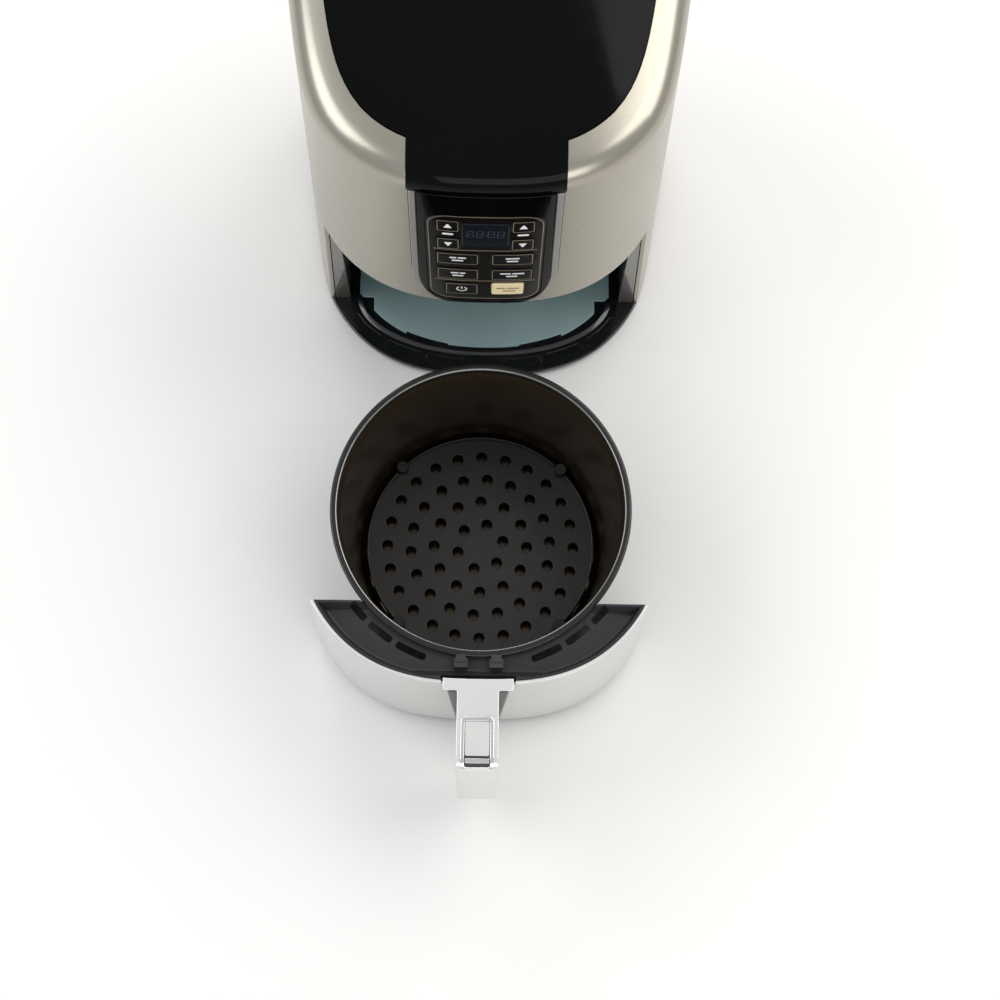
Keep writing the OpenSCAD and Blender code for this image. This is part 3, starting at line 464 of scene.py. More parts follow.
M = {
    "shell": material("satin_platinum", (0.395, 0.373, 0.312), 0.27, 0.92, 0.02, 6, 0.012, 0.004, 90),
    "front": material("satin_silver", (0.68, 0.685, 0.67), 0.36, 0.6, 0.02, 6, 0.015, 0.004, 90),
    "gloss": material("black_gloss", (0.001, 0.0012, 0.0011), 0.08, 0, 0.1, 20, 0.02, 0.02, 300,
                      specular=0.1),
    "ledge": material("black_ledge", (0.006, 0.007, 0.008), 0.16, 0, 0.15, 25, 0.04, 0.03, 500,
                      coat=0.5, coat_rough=0.06),
    "keypad": material("keypad_black", (0.004, 0.0035, 0.0025), 0.18, 0, 0.1, 40, 0.04, 0.04, 1800,
                       specular=0.22),
    "button": material("button_black", (0.004, 0.0035, 0.003), 0.18, 0, 0.1, 60, 0.04, 0.04, 1800,
                       specular=0.25),
    "gold": material("champagne_key", (1.0, 0.82, 0.50), 0.30, 0.0, 0.03, 90, 0.05, 0.08, 1800),
    # Thin lines: printed outlines of the buttons, and a painted highlight round the keypad's edge
    "line": material("thin_line_print_and_painted_highlight", (0.27, 0.225, 0.145), 0.35, 0.3, 0.25, 45, 0.08, 0.02, 900),
    "print": material("white_print", (0.86, 0.86, 0.86), 0.55, 0, 0.03, 150, 0.05, 0.03, 2500),
    "tan": material("tan_print", (0.30, 0.20, 0.10), 0.5, 0, 0.1, 150, 0.05, 0.03, 2500),
    "lens": material("display_lens", (0.006, 0.010, 0.015), 0.12, 0, 0.15, 30, 0.03, 0.0, 300, specular=0.25,
                     coat=0.15, coat_rough=0.04),
    "ghost": material("display_ghost", (0.045, 0.06, 0.07), 0.3, 0, 0.2, 120, 0.05, 0.0, 300),
    "chrome": material("bright_trim", (0.83, 0.82, 0.80), 0.14, 1.0, 0.02, 30, 0.03, 0.01, 900),
    "trim": material("panel_trim", (0.33, 0.325, 0.315), 0.12, 1.0, 0.02, 30, 0.03, 0.01, 900),
    "silver": material("handle_silver", (0.72, 0.715, 0.70), 0.3, 0.55, 0.02, 15, 0.015, 0.004, 120),
    "pad": material("pad_silver", (0.62, 0.615, 0.60), 0.42, 0.4, 0.03, 40, 0.04, 0.08, 2600),
    "grey": material("satin_grey", (0.12, 0.12, 0.112), 0.45, 0.2, 0.08, 30, 0.06, 0.12, 1200),
    "jamb": material("jamb_grey", (0.27, 0.265, 0.245), 0.3, 0.35, 0.06, 30, 0.05, 0.03, 300),
    "foot": material("jamb_foot", (0.085, 0.078, 0.066), 0.36, 0.2, 0.12, 40, 0.05, 0.04, 300),
    "liner": material("liner_dark", (0.030, 0.032, 0.034), 0.3, 0.1, 0.15, 30, 0.07, 0.12, 900),
    "tray": material("tray_charcoal", (0.020, 0.021, 0.022), 0.40, 0, 0.1, 45, 0.06, 0.25, 1500,
                     specular=0.3),
    # Bronze metallic tint of the basket's inside: painted warm sheen; the grey chips are wear
    "basket": material("nonstick", (0.078, 0.057, 0.034), 0.22, 0.72, 0.12, 25, 0.04, 0.03, 700,
                       wear=(900, 0.735, (0.08, 0.075, 0.07))),
    "rim": material("rim_charcoal", (0.009, 0.009, 0.009), 0.26, 0, 0.1, 45, 0.04, 0.04, 1500, specular=0.3,
                    coat=0.35, coat_rough=0.05),
    # Lighter metal for the rim's inner edge: a painted highlight line
    "rim_painted_highlight": material("rim_painted_highlight", (0.26, 0.26, 0.24), 0.22, 0.8, 0.1, 45, 0.04, 0.02, 1500),
    "plate": material("nonstick_plate", (0.022, 0.020, 0.018), 0.38, 0.15, 0.15, 55, 0.07, 0.3, 1700,
                      wear=(800, 0.72, (0.09, 0.085, 0.08))),
    "floor_plate": material("blue_grey_steel", (0.35, 0.50, 0.50), 0.34, 0.25, 0.07, 16, 0.07, 0.08, 900),
    "steel": material("bright_sheet", (0.62, 0.63, 0.64), 0.3, 1.0, 0.05, 40, 0.08, 0.08, 1200,
                      stretch=(1, 1, 6)),
    "element": material("oxidised_tube", (0.12, 0.11, 0.10), 0.5, 0.6, 0.3, 60, 0.1, 0.3, 700),
    "brass": material("sintered_bronze", (0.5, 0.32, 0.13), 0.42, 0.9, 0.15, 80, 0.08, 0.3, 1500),
    "board": material("solder_mask", (0.02, 0.14, 0.06), 0.35, 0, 0.2, 90, 0.06, 0.1, 900),
    "rubber": material("rubber_black", (0.018, 0.018, 0.018), 0.75, 0, 0.15, 70, 0.05, 0.4, 1300),
    "black": material("satin_black", (0.020, 0.020, 0.021), 0.45, 0, 0.12, 40, 0.06, 0.3, 1100),
    "ceramic": material("ceramic", (0.62, 0.59, 0.52), 0.6, 0, 0.06, 60, 0.05, 0.2, 900),
}

CAD_FINISH = {
    "steel": ("base_screws", "heat_shield", "fan_guard", "element_clips", "temperature_sensor",
              "convection_fan", "motor_shaft", "motor_rotor", "motor_housing", "motor_bracket",
              "exhaust_duct", "handle_screws"),
    "black": ("display_module", "tact_switches", "cooling_fan", "interlock_switch", "rear_vent",
              "basket_clips"),
    "rubber": ("feet", "cord_gland", "plate_bumpers"),
    "board": ("control_board", "power_board"),
    "jamb": ("bay_frame",), "liner": ("bay_liner",), "element": ("heating_element",),
    "ceramic": ("thermal_fuse",), "brass": ("motor_bushes",), "grey": ("handle_core",),
}
SOFT_EDGES = {"feet": 0.5, "bay_frame": 0.25, "rear_vent": 0.5, "cord_gland": 0.5, "basket_clips": 0.35,
              "handle_core": 0.7, "plate_bumpers": 0.4, "bay_liner": 0.3}


def dress_cad_nodes():
    for finish, names in CAD_FINISH.items():
        for name in names:
            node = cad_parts[name]
            node.data.materials.clear()
            node.data.materials.append(M[finish])
    for name, width in SOFT_EDGES.items():
        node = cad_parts[name]
        weld = node.modifiers.new("weld", "WELD")
        weld.merge_threshold = 1e-6
        add_bevel(node, width)


# ---------------------------------------------------------------- shell and top

ARC_END = 80
CROWN_RISE, CROWN_LENGTH = 4.46, 25.0


def crown_row(inset, t):
    """Row of the crowned top at an inset of the outer face, moved in by t: (z, inset, outline height)."""
    arc_inset = SHOULDER - SHOULDER * math.cos(math.radians(ARC_END))
    rise = CROWN_RISE * (1 - math.exp(-(inset - arc_inset) / CROWN_LENGTH))
    z = SHOULDER * math.sin(math.radians(ARC_END)) + rise
    return (SHOULDER_Z + z - t, inset, SHOULDER_Z)


def shoulder_rows(t, steps=9):
    rows = []
    for k in range(1, steps + 1):
        a = math.radians(ARC_END * k / steps)
        r = SHOULDER - t
        rows.append((SHOULDER_Z + r * math.sin(a), SHOULDER - r * math.cos(a), SHOULDER_Z))
    return rows


def outer_shell():
    zs = [LEDGE_TOP, 30, 60, 90, 120, OVERHANG_Z, 157, 164, 190, 220, 250, 280, 300, SHOULDER_Z]
    insets = [18.5, 23]

    def rows(t):
        return [(z, t, z) for z in zs] + shoulder_rows(t) + [crown_row(i, t) for i in insets]

    low, slot_from, shoulder = zs.index(OVERHANG_Z), zs.index(164), zs.index(SHOULDER_Z)
    n = len(ALL_COLUMNS)

    def keep(j, i):
        ends = (ALL_COLUMNS[i], ALL_COLUMNS[(i + 1) % n])
        in_front = all(c[0] in ("x", "front") for c in ends)
        widest = max(c[2] for c in ends) if all(c[0] == "x" for c in ends) else 999
        if j < low and in_front:
            return False
        if slot_from <= j < shoulder and widest <= 36:
            return False
        return not (j >= shoulder and widest <= 49.4)

    bm = grid_skin(ALL_COLUMNS, rows(0), rows(WALL), True, keep)
    mid = (166 + 250) / 2
    vent = plate(rounded_rect(100, 70, 6), -40, 40, top=0, bottom=0)
    gland = plate(circle(7.2, n=64), -30, 30, top=0, bottom=0)
    for tool, z in ((vent, mid), (gland, 34)):
        for v in tool.verts:
            v.co = unit_at(v.co.x, 224 + v.co.z, z + v.co.y)
    return finish_mesh("outer_shell_skin", bm, unit_at, "unit", "outer_shell", M["shell"], whole=True,
                       bevel=0.45, cutters=(vent, gland))


def top_cover():
    shoulder = len(shoulder_rows(-PROUD))

    def rows(t):
        insets = [20, 23.3, 27, 32]
        # From here on the rows are the last outline, scaled towards the middle of the top
        middle = [(crown_row(32 + 100 * (1 - scale), t)[0], 32, SHOULDER_Z, scale)
                  for scale in (0.94, 0.87, 0.79, 0.7, 0.6, 0.49, 0.37, 0.24, 0.1)]
        crown = [crown_row(i, t) for i in insets]
        return [(SHOULDER_Z + 0.2, t, SHOULDER_Z)] + shoulder_rows(t) + crown + middle

    n = len(ALL_COLUMNS)

    def keep(j, i):
        ends = (ALL_COLUMNS[i], ALL_COLUMNS[(i + 1) % n])
        tongue = all(c[0] == "x" for c in ends) and max(c[2] for c in ends) <= 49.4
        return tongue or j >= shoulder + 2

    bm = grid_skin(ALL_COLUMNS, rows(-PROUD), rows(WALL - PROUD), True, keep, (0, WIDEST_Y - 30, 0.03))
    cutters = []
    for row in (-1, 1):
        for k in range(-6, 7):
            tool = plate(rounded_rect(4.4, 27, 2.1), 318, 345, top=0, bottom=0)
            for v in tool.verts:
                v.co = unit_at(v.co.x + k * 11, v.co.y + 165 + row * 17 - abs(k) * 1.2, v.co.z)
            cutters.append(tool)
    return finish_mesh("top_cover_skin", bm, unit_at, "unit", "top_cover", M["gloss"], whole=True,
                       bevel=0.5, cutters=(join(cutters),))


# ---------------------------------------------------------------- control panel

LEAN = math.atan(FRONT_DEPTH * DRAFT)
PANEL_HALF, PANEL_Z, CORNER_X, CORNER_Z = 45.0, OVERHANG_Z + 0.2, 21.0, 46.0
TRIM_W, TRIM_Z0 = 4.4, PANEL_Z + CORNER_Z * (1 - math.cos(math.radians(27)))
KEYPAD = (76.4, 131.0, 14.0, 222.5)


def panel_at(x, h, t):
    """Point on the panel: x across, h up the slope, t outwards from its face."""
    y = sag(x, 240) - t
    return unit_at(x, WIDEST_Y - FRONT_DEPTH - PROUD + y * math.cos(LEAN) + h * math.sin(LEAN),
                   -y * math.sin(LEAN) + h * math.cos(LEAN))


def panel_edge(z):
    u = max(0.0, 1 - (z - PANEL_Z) / CORNER_Z)
    return PANEL_HALF - (z - PANEL_Z) * 0.008 - CORNER_X * (1 - math.sqrt(1 - u * u))


def trim_outer(z):
    return panel_edge(z) + TRIM_W * min(1.0, max(0.0, (z - TRIM_Z0) / 28)) + 0.3


def panel_heights(start=PANEL_Z):
    corner = [PANEL_Z + CORNER_Z * (1 - math.cos(math.radians(90) * k / 40)) for k in range(41)]
    return [start] + [z for z in corner if z > start + 0.2] + [SHOULDER_Z - 0.2]


def symmetric(edge, heights):
    return [(edge(z), z) for z in heights] + [(-edge(z), z) for z in heights[::-1]]


def on_panel(name, bm, slot, mat, whole=False, half=40.0):
    """Piece on the panel's curved face, sliced across so that it can follow the curve."""
    slice_mesh(bm, 0, steps_between(-half, half, int(half / 3)))
    finish_mesh(name, bm, panel_at, "unit", slot, mat, whole)


def ring_plate(w, h, r, width, t0, t1, cx=0.0, cy=0.0, edge=0.12):
    return plate(rounded_rect(w, h, r, cx, cy), t0, t1, top=edge, bottom=0, steps=2,
                 holes=[rounded_rect(w - 2 * width, h - 2 * width, max(0.3, r - width), cx, cy)])


def join(parts):
    whole = bmesh.new()
    for bm in parts:
        mesh = bpy.data.meshes.new("part")
        bm.to_mesh(mesh)
        bm.free()
        whole.from_mesh(mesh)
        bpy.data.meshes.remove(mesh)
    return whole


ARROW, MODE, KEY = (14.3, 15.0), (27.5, 16.0), (22.0, 17.0)
KEYS = {
    "temp_up_button": (-24.4, 274.0, ARROW), "temp_down_button": (-24.4, 247.5, ARROW),
    "time_up_button": (24.4, 274.0, ARROW), "time_down_button": (24.4, 247.5, ARROW),
    "mode_button_1": (-18.3, 224.5, MODE), "mode_button_2": (18.3, 224.5, MODE),
    "mode_button_3": (-18.3, 200.0, MODE), "mode_button_4": (18.3, 200.0, MODE),
    "power_button": (-15.8, 175.5, KEY), "start_button": (15.8, 175.5, KEY),
}
WINDOW = (0.0, 260.5, (30.4, 33.0))
LABELS = {
    "mode_button_1": ((-3.1, 4.6, 2.0), (2.9, 5.6, 2.0), (0, 7.8, -2.2)),
    "mode_button_2": ((0, 9.4, 2.0), (0, 7.8, -2.2)),
    "mode_button_3": ((-2.2, 5.4, 2.0), (3.2, 4.0, 2.0), (0, 7.8, -2.2)),
    "mode_button_4": ((-4.4, 7.4, 2.0), (4.3, 8.4, 2.0), (0, 7.8, -2.2)),
    "start_button": ((-4.6, 6.4, 1.9), (3.8, 8.6, 1.9), (1.2, 9.0, -2.4)),
}


def bar(x, w, z, h=1.9, t0=0.25, t1=0.36):
    return plate(rounded_rect(w, h, h * 0.35, x, z, 3), t0, t1, top=0.05, bottom=0, steps=1)


def triangle(x, z, up, t0=0.25, t1=0.36):
    s = 1 if up else -1
    loop = [(x - 2.5, z - s * 2.4), (x + 2.5, z - s * 2.4), (x + 2.3, z - s * 1.4), (x + 0.35, z + s * 2.9),
            (x - 0.35, z + s * 2.9), (x - 2.3, z - s * 1.4)]
    return plate(ccw(loop), t0, t1, top=0.05, bottom=0, steps=1)


def power_icon(x, z, t0=0.25, t1=0.36):
    r, width, gap = 3.3, 0.95, 34
    loop = arc(r + width / 2, 90 + gap, 450 - gap, 24, x, z)
    loop += arc(r - width / 2, 450 - gap, 90 + gap, 24, x, z)
    return join([plate(loop, t0, t1, top=0.05, bottom=0, steps=1), bar(x, width, z + 2.2, 3.8)])


def control_panel():
    zs = panel_heights()
    w, h, r, mid = KEYPAD
    body = plate(symmetric(panel_edge, zs), -2.6, 0.0, top=0.9, bottom=0, steps=4,
                 holes=[rounded_rect(w + 0.4, h + 0.4, r, 0, mid, 10)])
    on_panel("panel_face", body, "panel_fascia", M["gloss"], whole=True, half=48)
    gasket = plate(symmetric(lambda z: max(panel_edge(z), trim_outer(z) if z > TRIM_Z0 else 0) + 0.5, zs),
                   -3.2, -0.72, top=0.1, bottom=0, holes=[rounded_rect(70, h + 8, r, 0, mid, 8)])
    on_panel("panel_gasket", gasket, "panel_fascia", M["black"], half=52)
    tz = panel_heights(TRIM_Z0)
    for side, name in ((1, "panel_trim_right"), (-1, "panel_trim_left")):
        loop = [(side * (panel_edge(z) + 0.15), z) for z in tz]
        loop += [(side * trim_outer(z), z) for z in tz[::-1]]
        strip = plate(ccw(loop), -2.4, 0.2, top=0.55, bottom=0, steps=4)
        finish_mesh(name + "_strip", strip, panel_at, "unit", name, M["trim"], whole=True)


def keypad():
    w, h, r, mid = KEYPAD
    holes = [rounded_rect(s[0] + 0.7, s[1] + 0.7, 1.95, x, z) for x, z, s in KEYS.values()]
    holes.append(rounded_rect(WINDOW[2][0] + 0.2, WINDOW[2][1] + 0.2, 1.7, WINDOW[0], WINDOW[1]))
    body = plate(rounded_rect(w, h, r, 0, mid, 12), -2.8, -0.6, top=0.5, bottom=0, holes=holes)
    on_panel("keypad_face", body, "keypad_plate", M["keypad"], whole=True)
    # The ring round the keypad is a painted highlight of its raised edge
    lines = [ring_plate(w - 1.6, h - 1.6, r - 0.8, 0.7, -0.64, -0.42, 0, mid)]
    lines += [plate(rounded_rect(w - 8, 0.7, 0.3, 0, z, 2), -0.64, -0.45, top=0.08, bottom=0, steps=1)
              for z in (188, 237)]
    on_panel("keypad_lines", join(lines), "keypad_plate", M["line"])
    captions = [bar(x, 7.4, 260.7, 2.4, -0.62, -0.5) for x in (-24.4, 24.4)]
    on_panel("keypad_captions", join(captions), "keypad_plate", M["print"])


def display():
    x, z, s = WINDOW
    lens = plate(rounded_rect(*s, 1.6, x, z), -2.2, -0.3, top=0.35, bottom=0)
    on_panel("display_lens", lens, "display_window", M["lens"], whole=True, half=16)
    segments = []
    w, h, t = 4.0, 8.6, 0.62
    strokes = [(0, oy, w - t, t) for oy in (h / 2, 0, -h / 2)]
    strokes += [(ox, oy, t, h / 2 - t) for oy in (h / 4, -h / 4) for ox in (-w / 2, w / 2)]
    for cx in (-9.9, -3.7, 3.7, 9.9):
        for ox, oy, sw, sh in strokes:
            stroke = rounded_rect(sw, sh, 0.2, cx + ox + oy * 0.06, z + 2 + oy, 1)
            segments.append(plate(stroke, -0.34, -0.27, top=0, bottom=0))
    segments += [plate(circle(0.45, 0.1 + 0.1 * oy, z + 2 + oy, 12), -0.34, -0.27, top=0, bottom=0)
                 for oy in (-1.8, 1.8)]
    finish_mesh("display_segments", join(segments), panel_at, "unit", "display_window", M["ghost"])


def buttons():
    for name, (x, z, (w, h)) in KEYS.items():
        face = M["gold"] if name == "start_button" else M["button"]
        # Face, hidden flange behind the keypad, and the plunger over its switch
        cap = join([plate(rounded_rect(w, h, 1.6, x, z), -3.4, 0.3, top=0.45, bottom=0.1),
                    plate(rounded_rect(w + 2, h + 2, 2.6, x, z), -4.0, -3.3, top=0.1, bottom=0.1),
                    plate(circle(2.4, x, z, 24), -6.2 + sag(x, 240), -3.8, top=0, bottom=0.2)])
        slice_mesh(cap, 0, steps_between(x - w / 2, x + w / 2, 6))
        finish_mesh(name + "_cap", cap, panel_at, name, name, face, whole=True)
        if name != "start_button":
            ring = ring_plate(w - 0.5, h - 0.5, 1.4, 0.55, 0.24, 0.36, x, z, 0.05)
            slice_mesh(ring, 0, steps_between(x - w / 2, x + w / 2, 6))
            finish_mesh(name + "_outline", ring, panel_at, name, name, M["line"])
        if name == "power_button":
            mark = power_icon(x, z)
        elif name in LABELS:
            mark = join([bar(x + ox, bw, z + oz) for ox, bw, oz in LABELS[name]])
        else:
            mark = triangle(x, z, "_up_" in name)
        ink = M["tan"] if name == "start_button" else M["print"]
        finish_mesh(name + "_mark", mark, panel_at, name, name, ink)


# ---------------------------------------------------------------- base

RIDGE_RX, RIDGE_RY, RIDGE_HALF = 97.4, 44.6, 2.2
RECESSES, RECESS_FROM, RECESS_TO = ((9, 25), (29, 46), (52, 75)), 5.5, 12.0
POCKET_R, POCKET_FLOOR, NECK_X = 105.0, 5.0, 97.5
JAMB_Y, JAMB_IN, JAMB_OUT = 3.6, 106.3, 116.8
PLATE_R, STEP_X, NOTCH_X = 98.4, (28, 61), 87.0


def outline_loop(z, inset):
    return [outline_point(z, inset, c) for c in ALL_COLUMNS]


def half_ellipse(grow, steps=72):
    """From right to left round the front."""
    angles = [math.pi * k / steps for k in range(steps + 1)]
    return [((RIDGE_RX + grow) * math.cos(a), -(RIDGE_RY + grow) * math.sin(a)) for a in angles]


def base_ledge():
    front = half_ellipse(-RIDGE_HALF - 0.5)
    pocket = front + [(-NECK_X, JAMB_Y), (-POCKET_R, JAMB_Y)]
    pocket += arc(POCKET_R, 180, 0, 60, 0, BASKET_Y) + [(POCKET_R, JAMB_Y), (NECK_X, JAMB_Y)]
    pockets = [(ccw(pocket), LEDGE_TOP - POCKET_FLOOR)]
    for side in (-1, 1):
        for a0, a1 in RECESSES:
            angles = [math.radians(a) for a in steps_between(a0, a1, 12)]
            loop = []
            for grow, way in ((RECESS_FROM, 1), (RECESS_TO, -1)):
                loop += [(side * (RIDGE_RX + grow) * math.sin(a), -(RIDGE_RY + grow) * math.cos(a))
                         for a in angles[::way]]
            pockets.append((ccw(rounded_loop(loop, [1.2] + [0] * 11 + [1.2, 1.2] + [0] * 11 + [1.2])), 0.6))
    body = plate(ccw(outline_loop(LEDGE_TOP, 0)), 3.0, LEDGE_TOP, pockets=pockets, top=1.1, bottom=0.6,
                 steps=4)
    ridge = bmesh.new()
    # Its top slopes down to the outside; offsets in the profile run outwards
    profile = [(-2.2, 6.2), (-2.2, 7.2), (-2.05, 7.42), (-1.75, 7.5), (-1.3, 7.46), (-0.2, 7.2), (0.9, 6.92),
               (2.0, 6.62), (2.2, 6.5), (2.2, 6.2)]
    rows = []
    for k in range(-90, 91, 2):
        a = math.radians(k)
        rows.append([ridge.verts.new(((RIDGE_RX + o) * math.sin(a), -(RIDGE_RY + o) * math.cos(a), z))
                     for o, z in profile])
    add_band(ridge, rows)
    ridge.faces.new(rows[0])
    ridge.faces.new(rows[-1][::-1])
    finish_mesh("base_ledge_body", body, unit_at, "unit", "base_ledge", M["ledge"], whole=True, smooth=50)
    finish_mesh("base_ledge_ridge", ridge, unit_at, "unit", "base_ledge", M["ledge"], smooth=60)


def jamb_feet():
    """Darker facets at the feet of the two jambs, below a slanting line."""
    facet = [(JAMB_IN, LEDGE_TOP + 0.1), (JAMB_OUT, LEDGE_TOP + 0.1), (JAMB_OUT - 0.4, 24), (JAMB_IN, 67)]
    feet = [plate(ccw([(side * x, z) for x, z in facet]), -0.3, 0.45, top=0.25, bottom=0) for side in (-1, 1)]

    def on_jamb(x, z, out):
        return unit_at(x, 0.8 - out, z)

    finish_mesh("bay_frame_feet", join(feet), on_jamb, "unit", "bay_frame", M["foot"])


def floor_plate():
    def front(x):
        near, far = STEP_X
        step = 2.9 if x < near else 4 + 0.055 * (x - near) if x < far else 3.7 + 0.16 * (x - far)
        return (x, step - (RIDGE_RY - RIDGE_HALF) * math.sqrt(1 - (x / (RIDGE_RX - RIDGE_HALF)) ** 2))

    right = [front(x) for x in (0, 4, 8, 12, 16, 20, 24, 27.7, 28.3, 33, 38, 43, 48, 53, 57, 60.6, 61.2,
                                65, 69, 73, 77, 81, 84)]
    right += fillet(front(NOTCH_X), front(84), (NOTCH_X, 0), 0.9)
    right += fillet((NOTCH_X, 1), (NOTCH_X, -5), (PLATE_R, 1), 0.9)
    right += [(PLATE_R, 1), (PLATE_R, BASKET_Y)]
    back = arc(PLATE_R, 0, 180, 48, 0, BASKET_Y)[1:-1]
    loop = right + back + [(-x, y) for x, y in right[::-1][:-1]]
    body = plate(ccw(loop), POCKET_FLOOR, POCKET_FLOOR + 1.2, top=0.35, bottom=0)
    finish_mesh("floor_plate_sheet", body, unit_at, "unit", "floor_plate", M["floor_plate"], whole=True)


# ---------------------------------------------------------------- drawer

TRAY_TOP, INSET, NO_CHORD = FRONT_TOP - 0.6, 2.4, -400


def basket():
    bottom, floor_r, wall, floor_wall, turn = DRAWER_Z + 1, 90.0, 1.3, 1.6, 8.0
    inner_top, roll, edge, shoulder = RIM_R - 4.9, 1.5, 1.1, 7.5
    wall_z = bottom + floor_wall + turn
    inside = [(r, bottom + floor_wall) for r in (0, 30, 60)] + arc(turn, -90, 0, 12, floor_r - turn, wall_z)
    lean = [((inner_top - edge - floor_r) * k / 8, wall_z + (RIM_TOP - shoulder - wall_z) * k / 8)
            for k in range(9)]
    inside += [(floor_r + out, z) for out, z in lean[1:]]
    # Small step below the rim, then the edge rolls over to the flat rim
    inside += [(inner_top - step, RIM_TOP - drop) for step, drop in ((0.55, 6.9), (0.1, 5.6), (0, 1.6))]
    for a in [math.radians(degrees) for degrees in (20, 45, 70, 90)]:
        inside.append((inner_top + edge * (1 - math.cos(a)), RIM_TOP - edge + edge * math.sin(a)))
    rim = arc(roll, 90, -90, 12, RIM_R - roll, RIM_TOP - roll)
    outside = [(inner_top + wall + 0.6, RIM_TOP - 2 * roll), (inner_top + wall, RIM_TOP - 2 * roll - 0.6)]
    outside += [(floor_r + wall + out, z) for out, z in lean[::-1]]
    outside += arc(turn, 0, -90, 12, floor_r + wall - turn, bottom + turn)[1:] + [(60, bottom), (0, bottom)]
    bm = revolve(inside + rim + outside, 224, 0, BASKET_Y)
    pan = finish_mesh("basket_pan", bm, drawer_at, "drawer", "basket", M["basket"], whole=True, smooth=50)
    # The rolled rim and the outside are charcoal; a lighter metal band on the rim's inner edge is a painted
    # highlight, and the bronze tint of the inside is painted warm sheen
    pan.data.materials.append(M["rim"])
    pan.data.materials.append(M["rim_painted_highlight"])
    for face in pan.data.polygons:
        x, y, z = face.center / MM
        y -= DRAWER_Y + BASKET_Y
        # Faces on the rim's inner edge get the painted highlight
        if z > RIM_TOP - 1.6 and math.hypot(x, y) < inner_top + edge:
            face.material_index = 2
        # Rim top and outside faces are charcoal; the rest keep the bronze tint of painted sheen
        elif z > RIM_TOP - 5.8 or face.normal.x * x + face.normal.y * y > 0:
            face.material_index = 1


def sample_outer(inset, rear, chord, n):
    """Front curve of the drawer at an inset, from the left rear corner to the right, clipped by the chord."""
    z = TRAY_TOP

    def x_at(y):
        fd, hw = FRONT_DEPTH * shrink(z) - inset, HALF_W * shrink(z) - inset
        return hw * (1 - ((WIDEST_Y - y) / fd) ** FRONT_POWER) ** (1 / FRONT_POWER)

    edge = x_at(rear)
    points = []
    for k in range(n + 1):
        s = -1 + 2 * k / n
        # Even steps along the curve: by x in the middle, by angle towards the corners
        x = edge * math.sin(math.radians(90) * s * 0.82) / math.sin(math.radians(90) * 0.82)
        y = max(front_y(x, z, inset), chord)
        points.append((x, min(y, rear) if abs(s) < 1 else rear))
    return points


def inner_arc(r, rear, n):
    """Circle of the basket's hole, from the right rear corner round the front to the left one."""
    half = math.degrees(math.acos((BASKET_Y - rear) / r))
    return arc(r, half - 90, -half - 90, n, 0, BASKET_Y)


def crescent(inset, rear, chord, r, n_out=160, n_in=96, n_side=4):
    outer = sample_outer(inset, rear, chord, n_out)
    inner = inner_arc(r, rear, n_in)
    right = [(outer[-1][0] + (inner[0][0] - outer[-1][0]) * k / n_side, rear) for k in range(1, n_side)]
    left = [(inner[-1][0] + (outer[0][0] - inner[-1][0]) * k / n_side, rear) for k in range(1, n_side)]
    return outer + right + inner + left


def slot_loop(a0, a1, side):
    loop = []
    for t in range(5, 360, 10):
        c, s = math.cos(math.radians(t)), math.sin(math.radians(t))
        u, v = (math.copysign(abs(q) ** (1 / 3), q) for q in (c, s))
        a = math.radians((a0 + a1) / 2 + (a1 - a0) / 2 * u)
        r = 110 + 2.5 * v
        loop.append((side * r * math.sin(a), BASKET_Y - r * math.cos(a)))
    return ccw(loop)


def drawer_tray():
    top, deck, under = TRAY_TOP, 140.6, 138.5
    # Rim and trough of the tray: (inset of the front, rear edge, chord across the front, hole, height)
    rows = (
        (INSET, 0, NO_CHORD, 101.0, under),
        (INSET, 0, NO_CHORD, 101.0, top - 0.5),
        (2.55, -0.15, NO_CHORD, 101.0, top - 0.15),
        (2.9, -0.5, NO_CHORD, 101.0, top),
        (3.9, -1.5, -50.5, 103.9, top),
        (4.25, -1.9, -50.2, 104.1, top - 0.35),
        (6.0, -5.4, -46.9, 104.1, deck + 0.6),
        (6.9, -6.6, -46.1, 104.1, deck + 0.08),
        (7.6, -7.3, -45.4, 104.15, deck),
    )
    bm = bmesh.new()
    rings = [[bm.verts.new((x, y, z)) for x, y in crescent(*shape)] for *shape, z in rows]
    add_band(bm, rings)
    add_cap(bm, [rings[0]])
    add_cap(bm, [rings[-1]])
    cutters = [join([plate(slot_loop(a0, a1, side), 120, 152, top=0, bottom=0)
                     for side in (-1, 1) for a0, a1 in ((19, 30.5), (32.5, 42.5), (44.5, 51.6))]),
               plate(circle(104.35, 0, BASKET_Y, 256), 143, 160, top=0, bottom=0),
               plate(rounded_rect(50.4, 20, 0.8, 0, -60.3), 141.5, 160, top=0, bottom=0)]
    for tool in cutters:
        for v in tool.verts:
            v.co = drawer_at(*v.co)
    finish_mesh("drawer_tray_deck", bm, drawer_at, "drawer", "drawer_tray", M["tray"], whole=True,
                bevel=0.28, cutters=cutters)
    drawer_skirt(under)


def drawer_skirt(top):
    """Thin walls under the tray, round three hollows."""
    hole_r, wall, rib_from, rib_to = 103.4, 1.6, 20.0, 21.6

    def front(x):
        return (x, front_y(x, TRAY_TOP, INSET + wall))

    def back(x):
        return (x, BASKET_Y - math.sqrt((hole_r + wall) ** 2 - x * x))

    xs = steps_between(-rib_from, rib_from, 16)
    middle = [front(x) for x in xs] + [back(x) for x in xs[::-1]]
    curves = sample_outer(INSET + wall, -wall, NO_CHORD, 160) + inner_arc(hole_r + wall, -wall, 96)
    side = [front(rib_to)] + [p for p in curves if p[0] > rib_to + 0.3] + [back(rib_to)]
    hollows = [ccw(middle), ccw(side), ccw([(-x, y) for x, y in side])]
    skirt = plate(ccw(crescent(INSET, 0, NO_CHORD, hole_r)), DRAWER_Z, top, holes=hollows, top=0, bottom=0.4)
    finish_mesh("drawer_tray_skirt", skirt, drawer_at, "drawer", "drawer_tray", M["tray"])


